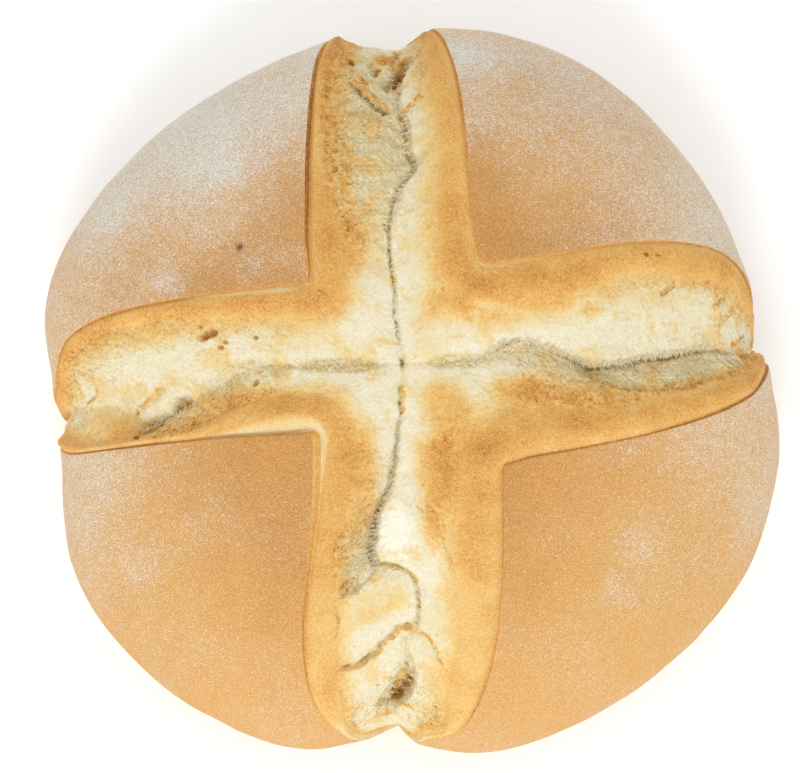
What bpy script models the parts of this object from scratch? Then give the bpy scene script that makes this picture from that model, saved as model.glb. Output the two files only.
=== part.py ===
"""A crusty round loaf with a deep cross cut that opened in the oven.

The loaf is one solid. It starts as a finely divided cube, whose top face becomes the
domed top, whose four walls become the sides, and whose bottom becomes the flat base.
Two bands of the top face's lines run along the two cuts, so that the edge of the crust,
the ridge of risen dough beside it and the crack between the ridges follow the lines.

Frame: metres, +Z up, origin under the middle of the loaf on the surface it rests on.
X runs along the cut that goes left to right, Y along the other one.
"""
import bmesh
import bpy
import numpy as np

MM = 0.001

# Body of the loaf
HEIGHT = 74.5 * MM             # the dome, without the raised edges of the crust
WAIST_HEIGHT = 30.0 * MM       # level at which the loaf is widest
MEAN_RADIUS = 101.0 * MM
BASE_SHARE = 0.84              # radius of the flat base as a share of the widest radius
DOME_FULLNESS = 2.3            # exponents of the dome and of the undercut; 2 is an ellipse
UNDERCUT_FULLNESS = 2.2
# Unevenness of the outline: (waves in a turn, height, direction of the crest in degrees)
OUTLINE_WAVES = (
    (1, 3.6 * MM, -134.0),
    (2, 1.4 * MM, 28.0),
    (3, 1.8 * MM, -129.0),
    (4, 1.0 * MM, -79.0),
)
# Broad dips of the outline where the four cuts run out: (direction, half width, depth)
OUTLINE_DIPS = (
    (8.0, 10.0, 3.5 * MM),
    (93.0, 8.0, 3.0 * MM),
    (187.0, 17.0, 11.0 * MM),
    (266.0, 9.0, 8.5 * MM),
)

# The two cuts, as curves over the dome: (millimetres along the cut, millimetres across it),
# both measured from the top of the dome
NORTH_SOUTH_WEST_EDGE = (
    (-112, -17), (-90, -27), (-68, -29), (-20, -22.5), (24, -28.5), (82, -29.5), (113, -27),
)
NORTH_SOUTH_CRACK = (
    (-107, -7.4), (-80, -4.5), (-64, 1), (-48, -10), (0, -2.8), (30, -6.8), (58, 0), (101, -4.6),
)
NORTH_SOUTH_EAST_EDGE = (
    (-112, 3), (-95, 18), (-65, 23.2), (-25, 22.5), (28, 19), (48, 15.4), (101, 9.5),
)
WEST_EAST_SOUTH_EDGE = ((-113, -22.6), (-56, -19), (-24, -17.4), (22.5, -25), (77, -13), (107, 1))
WEST_EAST_CRACK = ((-104, -8.3), (-75, -13), (-42, 2.5), (-3, 2.2), (29, 7.8), (52, 1.9), (102, 12))
WEST_EAST_NORTH_EDGE = ((-104, 9.6), (-85, 16), (-28.4, 23.3), (20, 28.7), (82, 39), (103, 32))

# Relief of the cuts, measured square to the dome
LIP_RISE = 0.9 * MM            # the crust curls up towards its cut edge
LIP_REACH = 6.0 * MM
STEP_DEPTH = 1.9 * MM          # drop from the edge of the crust to the foot of the ridge
STEP_SHARE = 0.06              # width of that drop, as a share of the way to the crack
RIDGE_RISE = 2.2 * MM          # the browned ridge, above its foot
RIDGE_PLACE = 0.28             # crest of the ridge, as a share of the way to the crack
RIDGE_HALF_WIDTH = 0.20
VALLEY_DEPTH = 4.2 * MM        # fall from the ridge to the shoulder of the crack
CRACK_DEPTH = 3.2 * MM
CRACK_HALF_WIDTH = 0.10
CORNER_SOFTNESS = 1.2 * MM     # rounds the crust's corners where the cuts meet
CUT_RUN_OUT = 25.0 * MM        # below the waist the cuts fade out over this length

# Division of the cube
CELLS_PER_HALF = 27            # along each half edge of the top face
CELLS_PER_CUT = 11             # of those, the ones between a crack and an edge of crust
SIDE_RINGS = 6
LINES_TO_EDGE = 1.35           # above 1 packs the lines closer beside the crust's edge
RIM_HOLD = 10                  # the higher, the closer to the rim the lines still follow the cuts
NORMAL_STEP = 0.2 * MM         # step over the body from which its normals are worked out
SMOOTH_BELOW = 50.0            # degrees between faces, past which an edge is shaded sharp

CRUST_COLOUR = (0.72, 0.41, 0.17, 1.0)
CRUST_ROUGHNESS = 0.75

CUT_EDGE = CELLS_PER_CUT / CELLS_PER_HALF
PROFILE_ANGLES = np.linspace(0.0, np.pi, 721)


def clear_scene():
    for existing in list(bpy.data.objects):
        bpy.data.objects.remove(existing, do_unlink=True)


def curve_through(knots, places):
    """Smooth curve through a few (place, offset) knots in millimetres, as an offset at each place.

    Between two knots it is a cubic whose slope at a knot is that of the line joining its
    neighbours; beyond the last knots it stays level.
    """
    at, offset = (np.array(column, dtype=float) * MM for column in zip(*knots))
    slope = np.gradient(offset, at)
    places = np.clip(places, at[0], at[-1])
    left = np.clip(np.searchsorted(at, places) - 1, 0, len(at) - 2)
    gap = at[left + 1] - at[left]
    share = (places - at[left]) / gap
    rise = offset[left + 1] - offset[left]
    start = slope[left] * gap
    end = slope[left + 1] * gap
    return (offset[left] + start * share + (3 * rise - 2 * start - end) * share**2
            + (start + end - 2 * rise) * share**3)


def outline_radius(direction):
    """Widest radius of the loaf in a direction: a circle with a few low waves and four dips."""
    radius = np.full_like(direction, MEAN_RADIUS)
    for waves, height, crest in OUTLINE_WAVES:
        radius += height * np.cos(waves * direction - np.radians(crest))
    for middle, half_width, depth in OUTLINE_DIPS:
        away = (direction - np.radians(middle) + np.pi) % (2 * np.pi) - np.pi
        radius -= depth * np.exp(-(away / np.radians(half_width)) ** 2)
    return radius


def profile(angle):
    """Upright profile as (share of the radius, height) for 0 at the top to pi at the base's rim.

    The dome is a superellipse above the waist, and the undercut is another below it.
    """
    sine, cosine = np.abs(np.sin(angle)), np.abs(np.cos(angle))
    above = angle <= np.pi / 2
    share = np.where(above, sine ** (2 / DOME_FULLNESS),
                     BASE_SHARE + (1 - BASE_SHARE) * sine ** (2 / UNDERCUT_FULLNESS))
    height = np.where(above, WAIST_HEIGHT + (HEIGHT - WAIST_HEIGHT) * cosine,
                      WAIST_HEIGHT * (1 - cosine ** (2 / UNDERCUT_FULLNESS)))
    return share, height


def profile_lengths():
    """Distance over the loaf from its top to each of PROFILE_ANGLES."""
    share, height = profile(PROFILE_ANGLES)
    steps = np.hypot(np.diff(share) * MEAN_RADIUS, np.diff(height))
    return np.concatenate([[0.0], np.cumsum(steps)])


LENGTHS = profile_lengths()
TO_WAIST = np.interp(np.pi / 2, PROFILE_ANGLES, LENGTHS)
TO_BASE = LENGTHS[-1]


def on_body(distance, direction):
    """Points of the plain body, without relief, from the distance over it and the direction."""
    share, height = profile(np.interp(distance, LENGTHS, PROFILE_ANGLES))
    radius = outline_radius(direction) * share
    return np.stack([radius * np.cos(direction), radius * np.sin(direction), height], axis=-1)


def outward_normals(distance, direction):
    """Unit normals of the plain body, from small steps over it."""
    turn = NORMAL_STEP / np.maximum(distance, NORMAL_STEP)
    along = (on_body(distance + NORMAL_STEP, direction)
             - on_body(distance - NORMAL_STEP, direction))
    around = on_body(distance, direction + turn) - on_body(distance, direction - turn)
    normal = np.cross(along, around)
    return normal / np.linalg.norm(normal, axis=-1, keepdims=True)


def packed_lines(even):
    """Moves evenly spaced lines (-1 to 1) closer to the crust's edges at plus and minus CUT_EDGE."""
    size = np.abs(even)
    inside = CUT_EDGE * (1 - (1 - np.minimum(size / CUT_EDGE, 1)) ** LINES_TO_EDGE)
    beyond = np.maximum(size - CUT_EDGE, 0) / (1 - CUT_EDGE)
    outside = CUT_EDGE + (1 - CUT_EDGE) * beyond**LINES_TO_EDGE
    return np.sign(even) * np.where(size < CUT_EDGE, inside, outside)


def shifted(place, across, spread, along, low_edge, crack, high_edge):
    """Moves a coordinate so that the grid's lines for the crack and the two edges lie on their curves.

    place is the line's own number (-1 to 1) and spread the coordinate that the number 1 has
    there; between the three curves and the rim the shift is shared out evenly.
    """
    stations = np.array([-1.0, -CUT_EDGE, 0.0, CUT_EDGE, 1.0])
    shifts = np.stack([np.zeros_like(along),
                       curve_through(low_edge, along) + CUT_EDGE * spread,
                       curve_through(crack, along),
                       curve_through(high_edge, along) - CUT_EDGE * spread,
                       np.zeros_like(along)])
    left = np.clip(np.searchsorted(stations, place, side="right") - 1, 0, 3)
    part = (place - stations[left]) / (stations[left + 1] - stations[left])
    columns = np.arange(len(place))
    return across + shifts[left, columns] * (1 - part) + shifts[left + 1, columns] * part


def into_the_cut(place, along, low_edge, crack, high_edge):
    """Distance inside the crust's edge (minus outside it), and the distance from edge to crack."""
    middle = curve_through(crack, along)
    half_width = np.where(place < 0, middle - curve_through(low_edge, along),
                          curve_through(high_edge, along) - middle)
    return (1 - np.abs(place) / CUT_EDGE) * half_width, half_width


def relief(depth_in, half_width):
    """Height of the surface over the plain body, from the distance inside the crust's edge.

    Outside the edge the crust curls up. Inside it drops by a step, rises over the browned
    ridge, falls along the valley's slope and drops once more into the crack.
    """
    share = np.clip(depth_in / half_width, 0, 1)
    step = np.clip(depth_in / (STEP_SHARE * half_width), 0, 1)
    ridge = np.exp(-((share - RIDGE_PLACE) / RIDGE_HALF_WIDTH) ** 2)
    ridge_at_edge = np.exp(-(RIDGE_PLACE / RIDGE_HALF_WIDTH) ** 2)
    slope = np.clip((share - RIDGE_PLACE) / (1 - RIDGE_PLACE), 0, 1)
    valley = slope**2 * (3 - 2 * slope)
    crack = np.exp(-((1 - share) / CRACK_HALF_WIDTH) ** 2)
    skin = LIP_RISE * np.exp(-(np.minimum(depth_in, 0) / LIP_REACH) ** 2)
    return (skin - STEP_DEPTH * step + RIDGE_RISE * (ridge - ridge_at_edge)
            - VALLEY_DEPTH * valley - CRACK_DEPTH * crack)


def shape_loaf(cube):
    """Loaf points for the vertices of a cube from -1 to 1."""
    u, v = packed_lines(cube[:, 0]), packed_lines(cube[:, 1])
    from_middle = np.sqrt(np.maximum(u**2 + v**2 - (u * v) ** 2, 0))
    spread_u = TO_WAIST * np.sqrt(1 - v**2 / 2)
    spread_v = TO_WAIST * np.sqrt(1 - u**2 / 2)
    west_east, south_north = u * spread_u, v * spread_v
    ns_curves = NORTH_SOUTH_WEST_EDGE, NORTH_SOUTH_CRACK, NORTH_SOUTH_EAST_EDGE
    we_curves = WEST_EAST_SOUTH_EDGE, WEST_EAST_CRACK, WEST_EAST_NORTH_EDGE
    p = shifted(u, west_east, spread_u, south_north, *ns_curves)
    q = shifted(v, south_north, spread_v, west_east, *we_curves)

    # The shifts must leave the rim on its circle, so they give way close to it
    at_rim = from_middle**RIM_HOLD
    distance = np.hypot(p, q) * (1 - at_rim) + TO_WAIST * from_middle * at_rim
    direction = np.arctan2(q, p)
    below_waist = (1 - cube[:, 2]) / 2
    distance = np.where(below_waist > 0, TO_WAIST + below_waist * (TO_BASE - TO_WAIST), distance)

    in_ns, width_ns = into_the_cut(u, q, *ns_curves)
    in_we, width_we = into_the_cut(v, p, *we_curves)
    softness = CORNER_SOFTNESS
    depth_in = softness * np.logaddexp(in_ns / softness, in_we / softness)
    height = relief(depth_in, np.where(in_ns > in_we, width_ns, width_we))
    fade = np.clip(1 - (distance - TO_WAIST) / CUT_RUN_OUT, 0, 1)
    height *= fade**2 * (3 - 2 * fade)

    points = on_body(distance, direction) + height[:, None] * outward_normals(distance, direction)
    on_base = cube[:, 2] < -0.999
    base_rim = on_body(np.full_like(direction, TO_BASE), direction)[:, :2]
    inner = base_rim * from_middle[:, None]
    points[on_base] = np.column_stack([inner, np.zeros(len(cube))])[on_base]
    points[:, 2] = np.maximum(points[:, 2], 0.0)
    return points


def divided_cube():
    """Cube from -1 to 1 with a square grid on its top and base and SIDE_RINGS rings on its walls."""
    mesh = bmesh.new()
    bmesh.ops.create_cube(mesh, size=2.0)

    def edges_along(axis):
        return [edge for edge in mesh.edges
                if abs(edge.verts[0].co[axis] - edge.verts[1].co[axis]) > 1.0]

    bmesh.ops.subdivide_edges(mesh, edges=edges_along(2), cuts=SIDE_RINGS - 1, use_grid_fill=True)
    bmesh.ops.subdivide_edges(mesh, edges=edges_along(0) + edges_along(1),
                              cuts=2 * CELLS_PER_HALF - 1, use_grid_fill=True)
    return mesh


def make_material():
    """Browned crust under a dusting of flour: matt, with no gloss of its own."""
    material = bpy.data.materials.new("browned_floured_crust")
    material.use_nodes = True
    shader = material.node_tree.nodes["Principled BSDF"]
    shader.inputs["Base Color"].default_value = CRUST_COLOUR
    shader.inputs["Roughness"].default_value = CRUST_ROUGHNESS
    shader.inputs["Metallic"].default_value = 0.0
    return material


def make_loaf(collection):
    mesh = divided_cube()
    points = shape_loaf(np.array([vertex.co[:] for vertex in mesh.verts]))
    for vertex, point in zip(mesh.verts, points):
        vertex.co = point
    base = [face for face in mesh.faces if all(vertex.co.z == 0.0 for vertex in face.verts)]
    bmesh.ops.dissolve_faces(mesh, faces=base, use_verts=False)
    bmesh.ops.recalc_face_normals(mesh, faces=mesh.faces)

    data = bpy.data.meshes.new("loaf")
    mesh.to_mesh(data)
    mesh.free()
    data.materials.append(make_material())
    data.shade_smooth()
    data.set_sharp_from_angle(angle=np.radians(SMOOTH_BELOW))
    loaf = bpy.data.objects.new("loaf", data)
    collection.objects.link(loaf)
    return loaf


clear_scene()
loaf_collection = bpy.data.collections.new("cross_cut_loaf")
bpy.context.scene.collection.children.link(loaf_collection)
make_loaf(loaf_collection)
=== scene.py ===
# %% [markdown]
# # A floured round loaf with a cross cut that opened in the oven
#
# This lesson makes the looks of one loaf around its plain solid. The real loaf is one baked
# piece, but its surface is of two kinds: the dusty brown crust of the four quarters, and the
# four golden faces where the baker's cuts tore open. Each kind gets surfaces and a finish of
# its own. Every surface is worked out as whole arrays of points with numpy.

# %% The frame
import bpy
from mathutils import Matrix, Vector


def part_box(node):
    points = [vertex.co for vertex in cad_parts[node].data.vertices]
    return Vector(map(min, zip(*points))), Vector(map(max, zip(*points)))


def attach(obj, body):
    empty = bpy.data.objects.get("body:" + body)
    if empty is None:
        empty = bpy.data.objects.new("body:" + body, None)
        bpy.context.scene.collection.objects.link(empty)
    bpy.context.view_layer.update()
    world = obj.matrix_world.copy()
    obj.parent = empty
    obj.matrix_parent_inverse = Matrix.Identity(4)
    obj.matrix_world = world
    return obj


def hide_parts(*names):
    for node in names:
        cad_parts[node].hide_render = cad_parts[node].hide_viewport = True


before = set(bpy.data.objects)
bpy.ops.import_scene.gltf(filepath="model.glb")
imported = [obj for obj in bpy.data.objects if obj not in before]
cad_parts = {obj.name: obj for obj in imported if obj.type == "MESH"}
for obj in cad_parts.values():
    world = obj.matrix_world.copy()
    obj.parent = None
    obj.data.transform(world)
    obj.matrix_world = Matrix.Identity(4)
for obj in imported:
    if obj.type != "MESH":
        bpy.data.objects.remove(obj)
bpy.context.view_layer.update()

from types import SimpleNamespace

import bpy
import numpy as np
from mathutils import Vector

LOW, HIGH = (np.array(corner) * 1000 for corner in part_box("loaf"))
WIDTH, DEPTH, HEIGHT = HIGH - LOW
print("solid loaf, mm:", np.round([WIDTH, DEPTH, HEIGHT], 1))

# %% [markdown]
# ## The body of the loaf
#
# Lengths in this script are millimetres until a mesh is made. A point on the loaf is given by
# two coordinates, p to the right and q away from the viewer, measured over the dome from its
# top like a tape laid on it. That way the cuts run on over the shoulder and down the sides
# with no seam. The body is a turned profile, a superellipse for the dome and another for the
# undercut, whose radius changes gently with the direction.

# %% Body: the profile and the outline
MEAN_RADIUS = 0.506 * WIDTH
WAIST = 0.4 * HEIGHT                          # height at which the loaf is widest
BASE_SHARE = 0.84                             # the base's radius as a share of the widest one
DOME_FULLNESS, UNDERCUT_FULLNESS = 2.3, 2.2   # 2 would be an ellipse, more is squarer
# Low waves of the outline: (waves in a turn, height, direction of a crest in degrees)
OUTLINE_WAVES = ((1, 3.6, -134), (2, 1.4, 28), (3, 1.8, -129), (4, 1.0, -79))
# Dips of the outline where the cuts run out: (direction and half-width in degrees, depth)
OUTLINE_DIPS = ((8, 10, 3.5), (93, 8, 3.0), (187, 17, 11.0), (266, 9, 8.5))


def smoothstep(low, high, x):
    """0 below low, 1 above high, and 3t^2 - 2t^3 between."""
    t = np.clip((x - low) / (high - low), 0, 1)
    return t * t * (3 - 2 * t)


def bell(away, width, power=2):
    """1 at no distance, falling to 1/e one width away."""
    return np.exp(-(away / width) ** power)


def outline_radius(direction):
    """Widest radius in a direction: a mean, four low waves and a dip where each cut runs out."""
    radius = MEAN_RADIUS + np.zeros_like(direction)
    for waves, height, crest in OUTLINE_WAVES:
        radius += height * np.cos(waves * direction - np.radians(crest))
    for middle, half_width, depth in OUTLINE_DIPS:
        away = (direction - np.radians(middle) + np.pi) % (2 * np.pi) - np.pi
        radius -= depth * bell(away, np.radians(half_width))
    return radius


def profile(angle):
    """Share of the radius and height, for 0 at the top, pi/2 at the waist, pi at the base's rim."""
    sine, cosine = np.abs(np.sin(angle)), np.abs(np.cos(angle))
    above = angle <= np.pi / 2
    undercut = 2 / UNDERCUT_FULLNESS
    share = np.where(above, sine ** (2 / DOME_FULLNESS), BASE_SHARE + (1 - BASE_SHARE) * sine**undercut)
    height = np.where(above, WAIST + (HEIGHT - WAIST) * cosine, WAIST * (1 - cosine**undercut))
    return share, height


ANGLES = np.linspace(0, np.pi, 2001)
SHARES, HEIGHTS = profile(ANGLES)
LENGTHS = np.concatenate([[0], np.cumsum(np.hypot(np.diff(SHARES) * MEAN_RADIUS, np.diff(HEIGHTS)))])
TO_BASE = LENGTHS[-1]
print("over the loaf from its top: to the waist %.1f mm, to the base %.1f mm"
      % (np.interp(np.pi / 2, ANGLES, LENGTHS), TO_BASE))


def on_body(p, q):
    """Point of the plain body for the tape coordinates p and q."""
    distance, direction = np.hypot(p, q), np.arctan2(q, p)
    radius = outline_radius(direction) * np.interp(distance, LENGTHS, SHARES)
    height = np.interp(distance, LENGTHS, HEIGHTS)
    return np.stack([radius * np.cos(direction), radius * np.sin(direction), height], -1)


def normals_at(p, q, step=0.25):
    """Unit outward normal: the cross product of the surface's steps along p and along q."""
    along_p = on_body(p + step, q) - on_body(p - step, q)
    along_q = on_body(p, q + step) - on_body(p, q - step)
    normal = np.cross(along_p, along_q)
    return normal / np.maximum(np.linalg.norm(normal, axis=-1, keepdims=True), 1e-9)


def lean(p, q):
    """Tangent of the angle between upright and the plain body's normal, at most 1.6."""
    normal = normals_at(p, q)
    return np.clip(np.linalg.norm(normal[..., :2], axis=-1) / np.maximum(normal[..., 2], 0.3), 0, 1.6)


# %% [markdown]
# ## Curves and noise
#
# A curve through a few knots gives everything that changes slowly along a cut, such as where
# its edge runs and how wide its ridge is. Noise gives everything that nobody planned: dough
# swells, tears and blisters unevenly. Gradient noise is used, because it has no visible grid:
# each corner of a lattice gets a random slope, and the slopes are blended between corners.

# %% Curves and noise


def curve(knots, places, column=1):
    """Value at each place of a smooth curve through knots, rows of (place, value, value...).

    Between two knots it is the cubic whose slope at a knot is that of its neighbours' chord.
    """
    table = np.array(knots, dtype=float)
    at, value = table[:, 0], table[:, column]
    slope = np.gradient(value, at)
    places = np.clip(places, at[0], at[-1])
    left = np.clip(np.searchsorted(at, places) - 1, 0, len(at) - 2)
    gap = at[left + 1] - at[left]
    t = (places - at[left]) / gap
    rise, start, end = value[left + 1] - value[left], slope[left] * gap, slope[left + 1] * gap
    return value[left] + start * t + (3 * rise - 2 * start - end) * t**2 + (start + end - 2 * rise) * t**3


def lengths_along(line):
    """Length of a bent line up to each of its points."""
    return np.concatenate([[0], np.cumsum(np.linalg.norm(np.diff(line, axis=0), axis=1))])


def running_mean(line, reach):
    """Line with each point a bell-weighted mean of its neighbours, the ends kept."""
    if not reach:
        return line
    weights = np.hanning(2 * reach + 3)[1:-1]
    weights /= weights.sum()
    smooth = line.copy()
    for axis in (0, 1):
        smooth[reach:-reach, axis] = np.convolve(line[:, axis], weights, "valid")
    return smooth


random = np.random.default_rng(14)
SHUFFLED = random.permutation(256)
SLOPES = random.normal(size=(256, 3))
SLOPES /= np.linalg.norm(SLOPES, axis=1, keepdims=True)


def shuffle(cell_p, cell_q, which):
    """Number from 0 to 255 that looks random but is always the same for a cell of a lattice."""
    return SHUFFLED[(SHUFFLED[(SHUFFLED[cell_p & 255] + cell_q) & 255] + which) & 255]


def noise(points, size, shift=0.0):
    """Gradient noise, about -1 to 1, with bumps of the given size in mm; shift picks another field."""
    scaled = points / size + shift
    cell = np.floor(scaled).astype(int)
    inside = scaled - cell
    blend = inside**3 * (inside * (inside * 6 - 15) + 10)
    total = np.zeros(points.shape[:-1])
    for corner in np.ndindex(2, 2, 2):
        at = cell + corner
        reach = np.prod(np.where(corner, blend, 1 - blend), axis=-1)
        slope = SLOPES[shuffle(at[..., 0], at[..., 1], at[..., 2])]
        total += reach * np.sum(slope * (inside - corner), axis=-1)
    return total * 1.6


def flat(p, q):
    """Tape coordinates as points, for noise that follows the surface."""
    return np.stack([p, q, np.zeros_like(p)], -1)


# %% [markdown]
# ## The two cuts
#
# The cuts cross near the middle. Each has two edges of crust and a crack between them, and
# each of these is a curve through a few knots. The knots end at the tips, low on the sides,
# where the edges close on the crack.

# %% Cuts: where the edges and the cracks run
TIP = 141                                     # how far out over the loaf each cut ends
# Knots of the cut that runs away from the viewer are (q, p), and of the other (p, q)
NS_WEST = ((-TIP, -6), (-134, -11), (-126, -15), (-118, -18), (-110, -20.5), (-104.5, -22.2), (-97, -25.2),
           (-88, -27.8), (-79, -28.9), (-65, -29), (-55, -27.9), (-45, -26.8), (-35, -25.7), (-24, -25.2),
           (24, -28.3), (30, -28.7), (36, -29.6), (47, -30), (82, -29.8), (95, -29), (103, -27.9),
           (109, -27.2), (116, -27.5), (124, -26), (132, -21), (138, -14), (TIP, -9))
NS_CRACK = ((-TIP, -6), (-126, -7), (-114, -6), (-106, -7), (-100, -7), (-95, -3.5), (-86, -1), (-78, -3),
            (-71, 0.2), (-63, 0.8), (-57, -1.5), (-52, -9.6), (-44, -10.3), (-37, -9.2), (-30, -6),
            (-20, -4.6), (-12, -3.6), (-3, -3.2), (3, -2.8), (12, -4.4), (24, -5.4), (36, -6.8),
            (46, -6.2), (52, -4.2), (58, 0.3), (64, -1.2), (72, -2), (80, -4.8), (88, -4.6), (100, -5.5),
            (115, -6), (TIP, -9))
NS_EAST = ((-TIP, -6), (-134, -2), (-126, 1), (-118, 3), (-111, 5.2), (-105.5, 10.8), (-101, 13.8),
           (-91, 18), (-80, 21), (-70, 22.5), (-60, 23.2), (-28, 23.2), (26, 19), (30, 17.6), (36, 16.3),
           (45, 15.1), (55, 14.7), (70, 13.9), (86, 12.2), (97, 10.2), (103, 9), (110, 7.2), (118, 5.5),
           (126, 2.5), (134, -3), (TIP, -9))
WE_SOUTH = ((-TIP, -14), (-132, -17.5), (-124, -19.3), (-116, -20.5), (-106, -22), (-90, -21.2),
            (-80, -20.4), (-70, -19.5), (-60, -18.6), (-40, -17), (-24, -16.3), (22.5, -25), (30, -22.6),
            (40, -20.8), (50, -18.9), (60, -16.9), (70, -14.4), (80, -11.5), (90, -8), (100, -3.5),
            (107.5, 1.5), (114, 5.5), (124, 10), (TIP, 14))
WE_CRACK = ((-TIP, -14), (-120, -11), (-104, -9), (-92, -8), (-84, -9), (-76, -13.4), (-70, -12),
            (-64, -8), (-56, -4.4), (-44, 1.2), (-28, 1.4), (-2.8, 2.3), (12, 3), (20, 4.8), (28, 8.8),
            (36, 7.6), (44, 4.6), (50, 2.4), (56, 3), (64, 5.2), (74, 6.6), (84, 9.4), (94, 9.5),
            (104, 11), (120, 14), (TIP, 14))
WE_NORTH = ((-TIP, -14), (-134, -11), (-126, -7.5), (-118, -3.5), (-112, 0.5), (-108, 5), (-104, 9),
            (-100, 11.8), (-95, 13.8), (-90, 15.3), (-80, 17.5), (-70, 18.9), (-60, 20), (-50, 21.1),
            (-40, 22.2), (-29, 23.6), (19, 28.8), (25, 30.2), (30, 31), (40, 33.2), (50, 35.4), (60, 37.4),
            (70, 38.7), (80, 39.3), (90, 39), (97, 37.6), (105, 34.5), (112, 31), (120, 27), (130, 21),
            (TIP, 14))


def sunk(knots, depth=4.5):
    """Knots of a line laid out from above, moved down the slope to where it lies under the surface."""
    table = np.array(knots, float)
    place = table[:, 0]
    down = depth * lean(np.zeros_like(place), place) * smoothstep(128, 100, np.abs(place))
    table[:, 0] += np.sign(place) * down
    return table


NS_CRACK, WE_CRACK = sunk(NS_CRACK), sunk(WE_CRACK)


def meeting(ns_knots, we_knots):
    """Point (p, q) where a curve p(q) meets a curve q(p), by going to and fro between them."""
    p, q = 0.0, 0.0
    for _ in range(40):
        p, q = float(curve(ns_knots, q)), float(curve(we_knots, p))
    return np.array([p, q])


# The quarters of the crust: (1 if north, 1 if east), the two edges, and where these meet
QUARTERS = {"north_west": (1, 0), "north_east": (1, 1), "south_west": (0, 0), "south_east": (0, 1)}
EDGES = {quarter: ((NS_WEST, NS_EAST)[east], (WE_SOUTH, WE_NORTH)[north])
         for quarter, (north, east) in QUARTERS.items()}
CORNERS = {quarter: meeting(*edges) for quarter, edges in EDGES.items()}
print("the cracks cross at", np.round(meeting(NS_CRACK, WE_CRACK), 1))
print("corners of the quarters:", {name: np.round(at, 1).tolist() for name, at in CORNERS.items()})


def inside_cut(p, q):
    """Distance inside the crust's edge, minus outside it: the larger of that into either cut."""
    into_ns = np.where(p < curve(NS_CRACK, q), p - curve(NS_WEST, q), curve(NS_EAST, q) - p)
    into_we = np.where(q < curve(WE_CRACK, p), q - curve(WE_SOUTH, p), curve(WE_NORTH, p) - q)
    past_ns, past_we = np.abs(q) - TIP, np.abs(p) - TIP
    into_ns = np.where(past_ns > 0, -np.hypot(np.maximum(-into_ns, 0), past_ns), into_ns)
    into_we = np.where(past_we > 0, -np.hypot(np.maximum(-into_we, 0), past_we), into_we)
    return np.maximum(into_ns, into_we)


# %% [markdown]
# ## The relief of a cut
#
# Seen across, each side of a cut has the same parts. The crust curls up a little to its cut
# edge. From there a low wall leads down to the foot of the ridge, dough that swelled out of
# the cut and browned. Past the ridge comes a porous band and then torn crumb, which slopes
# or rolls down to the crack. Tables of knots along each side say how wide and how high each
# part is there, because no two sides opened alike.

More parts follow.
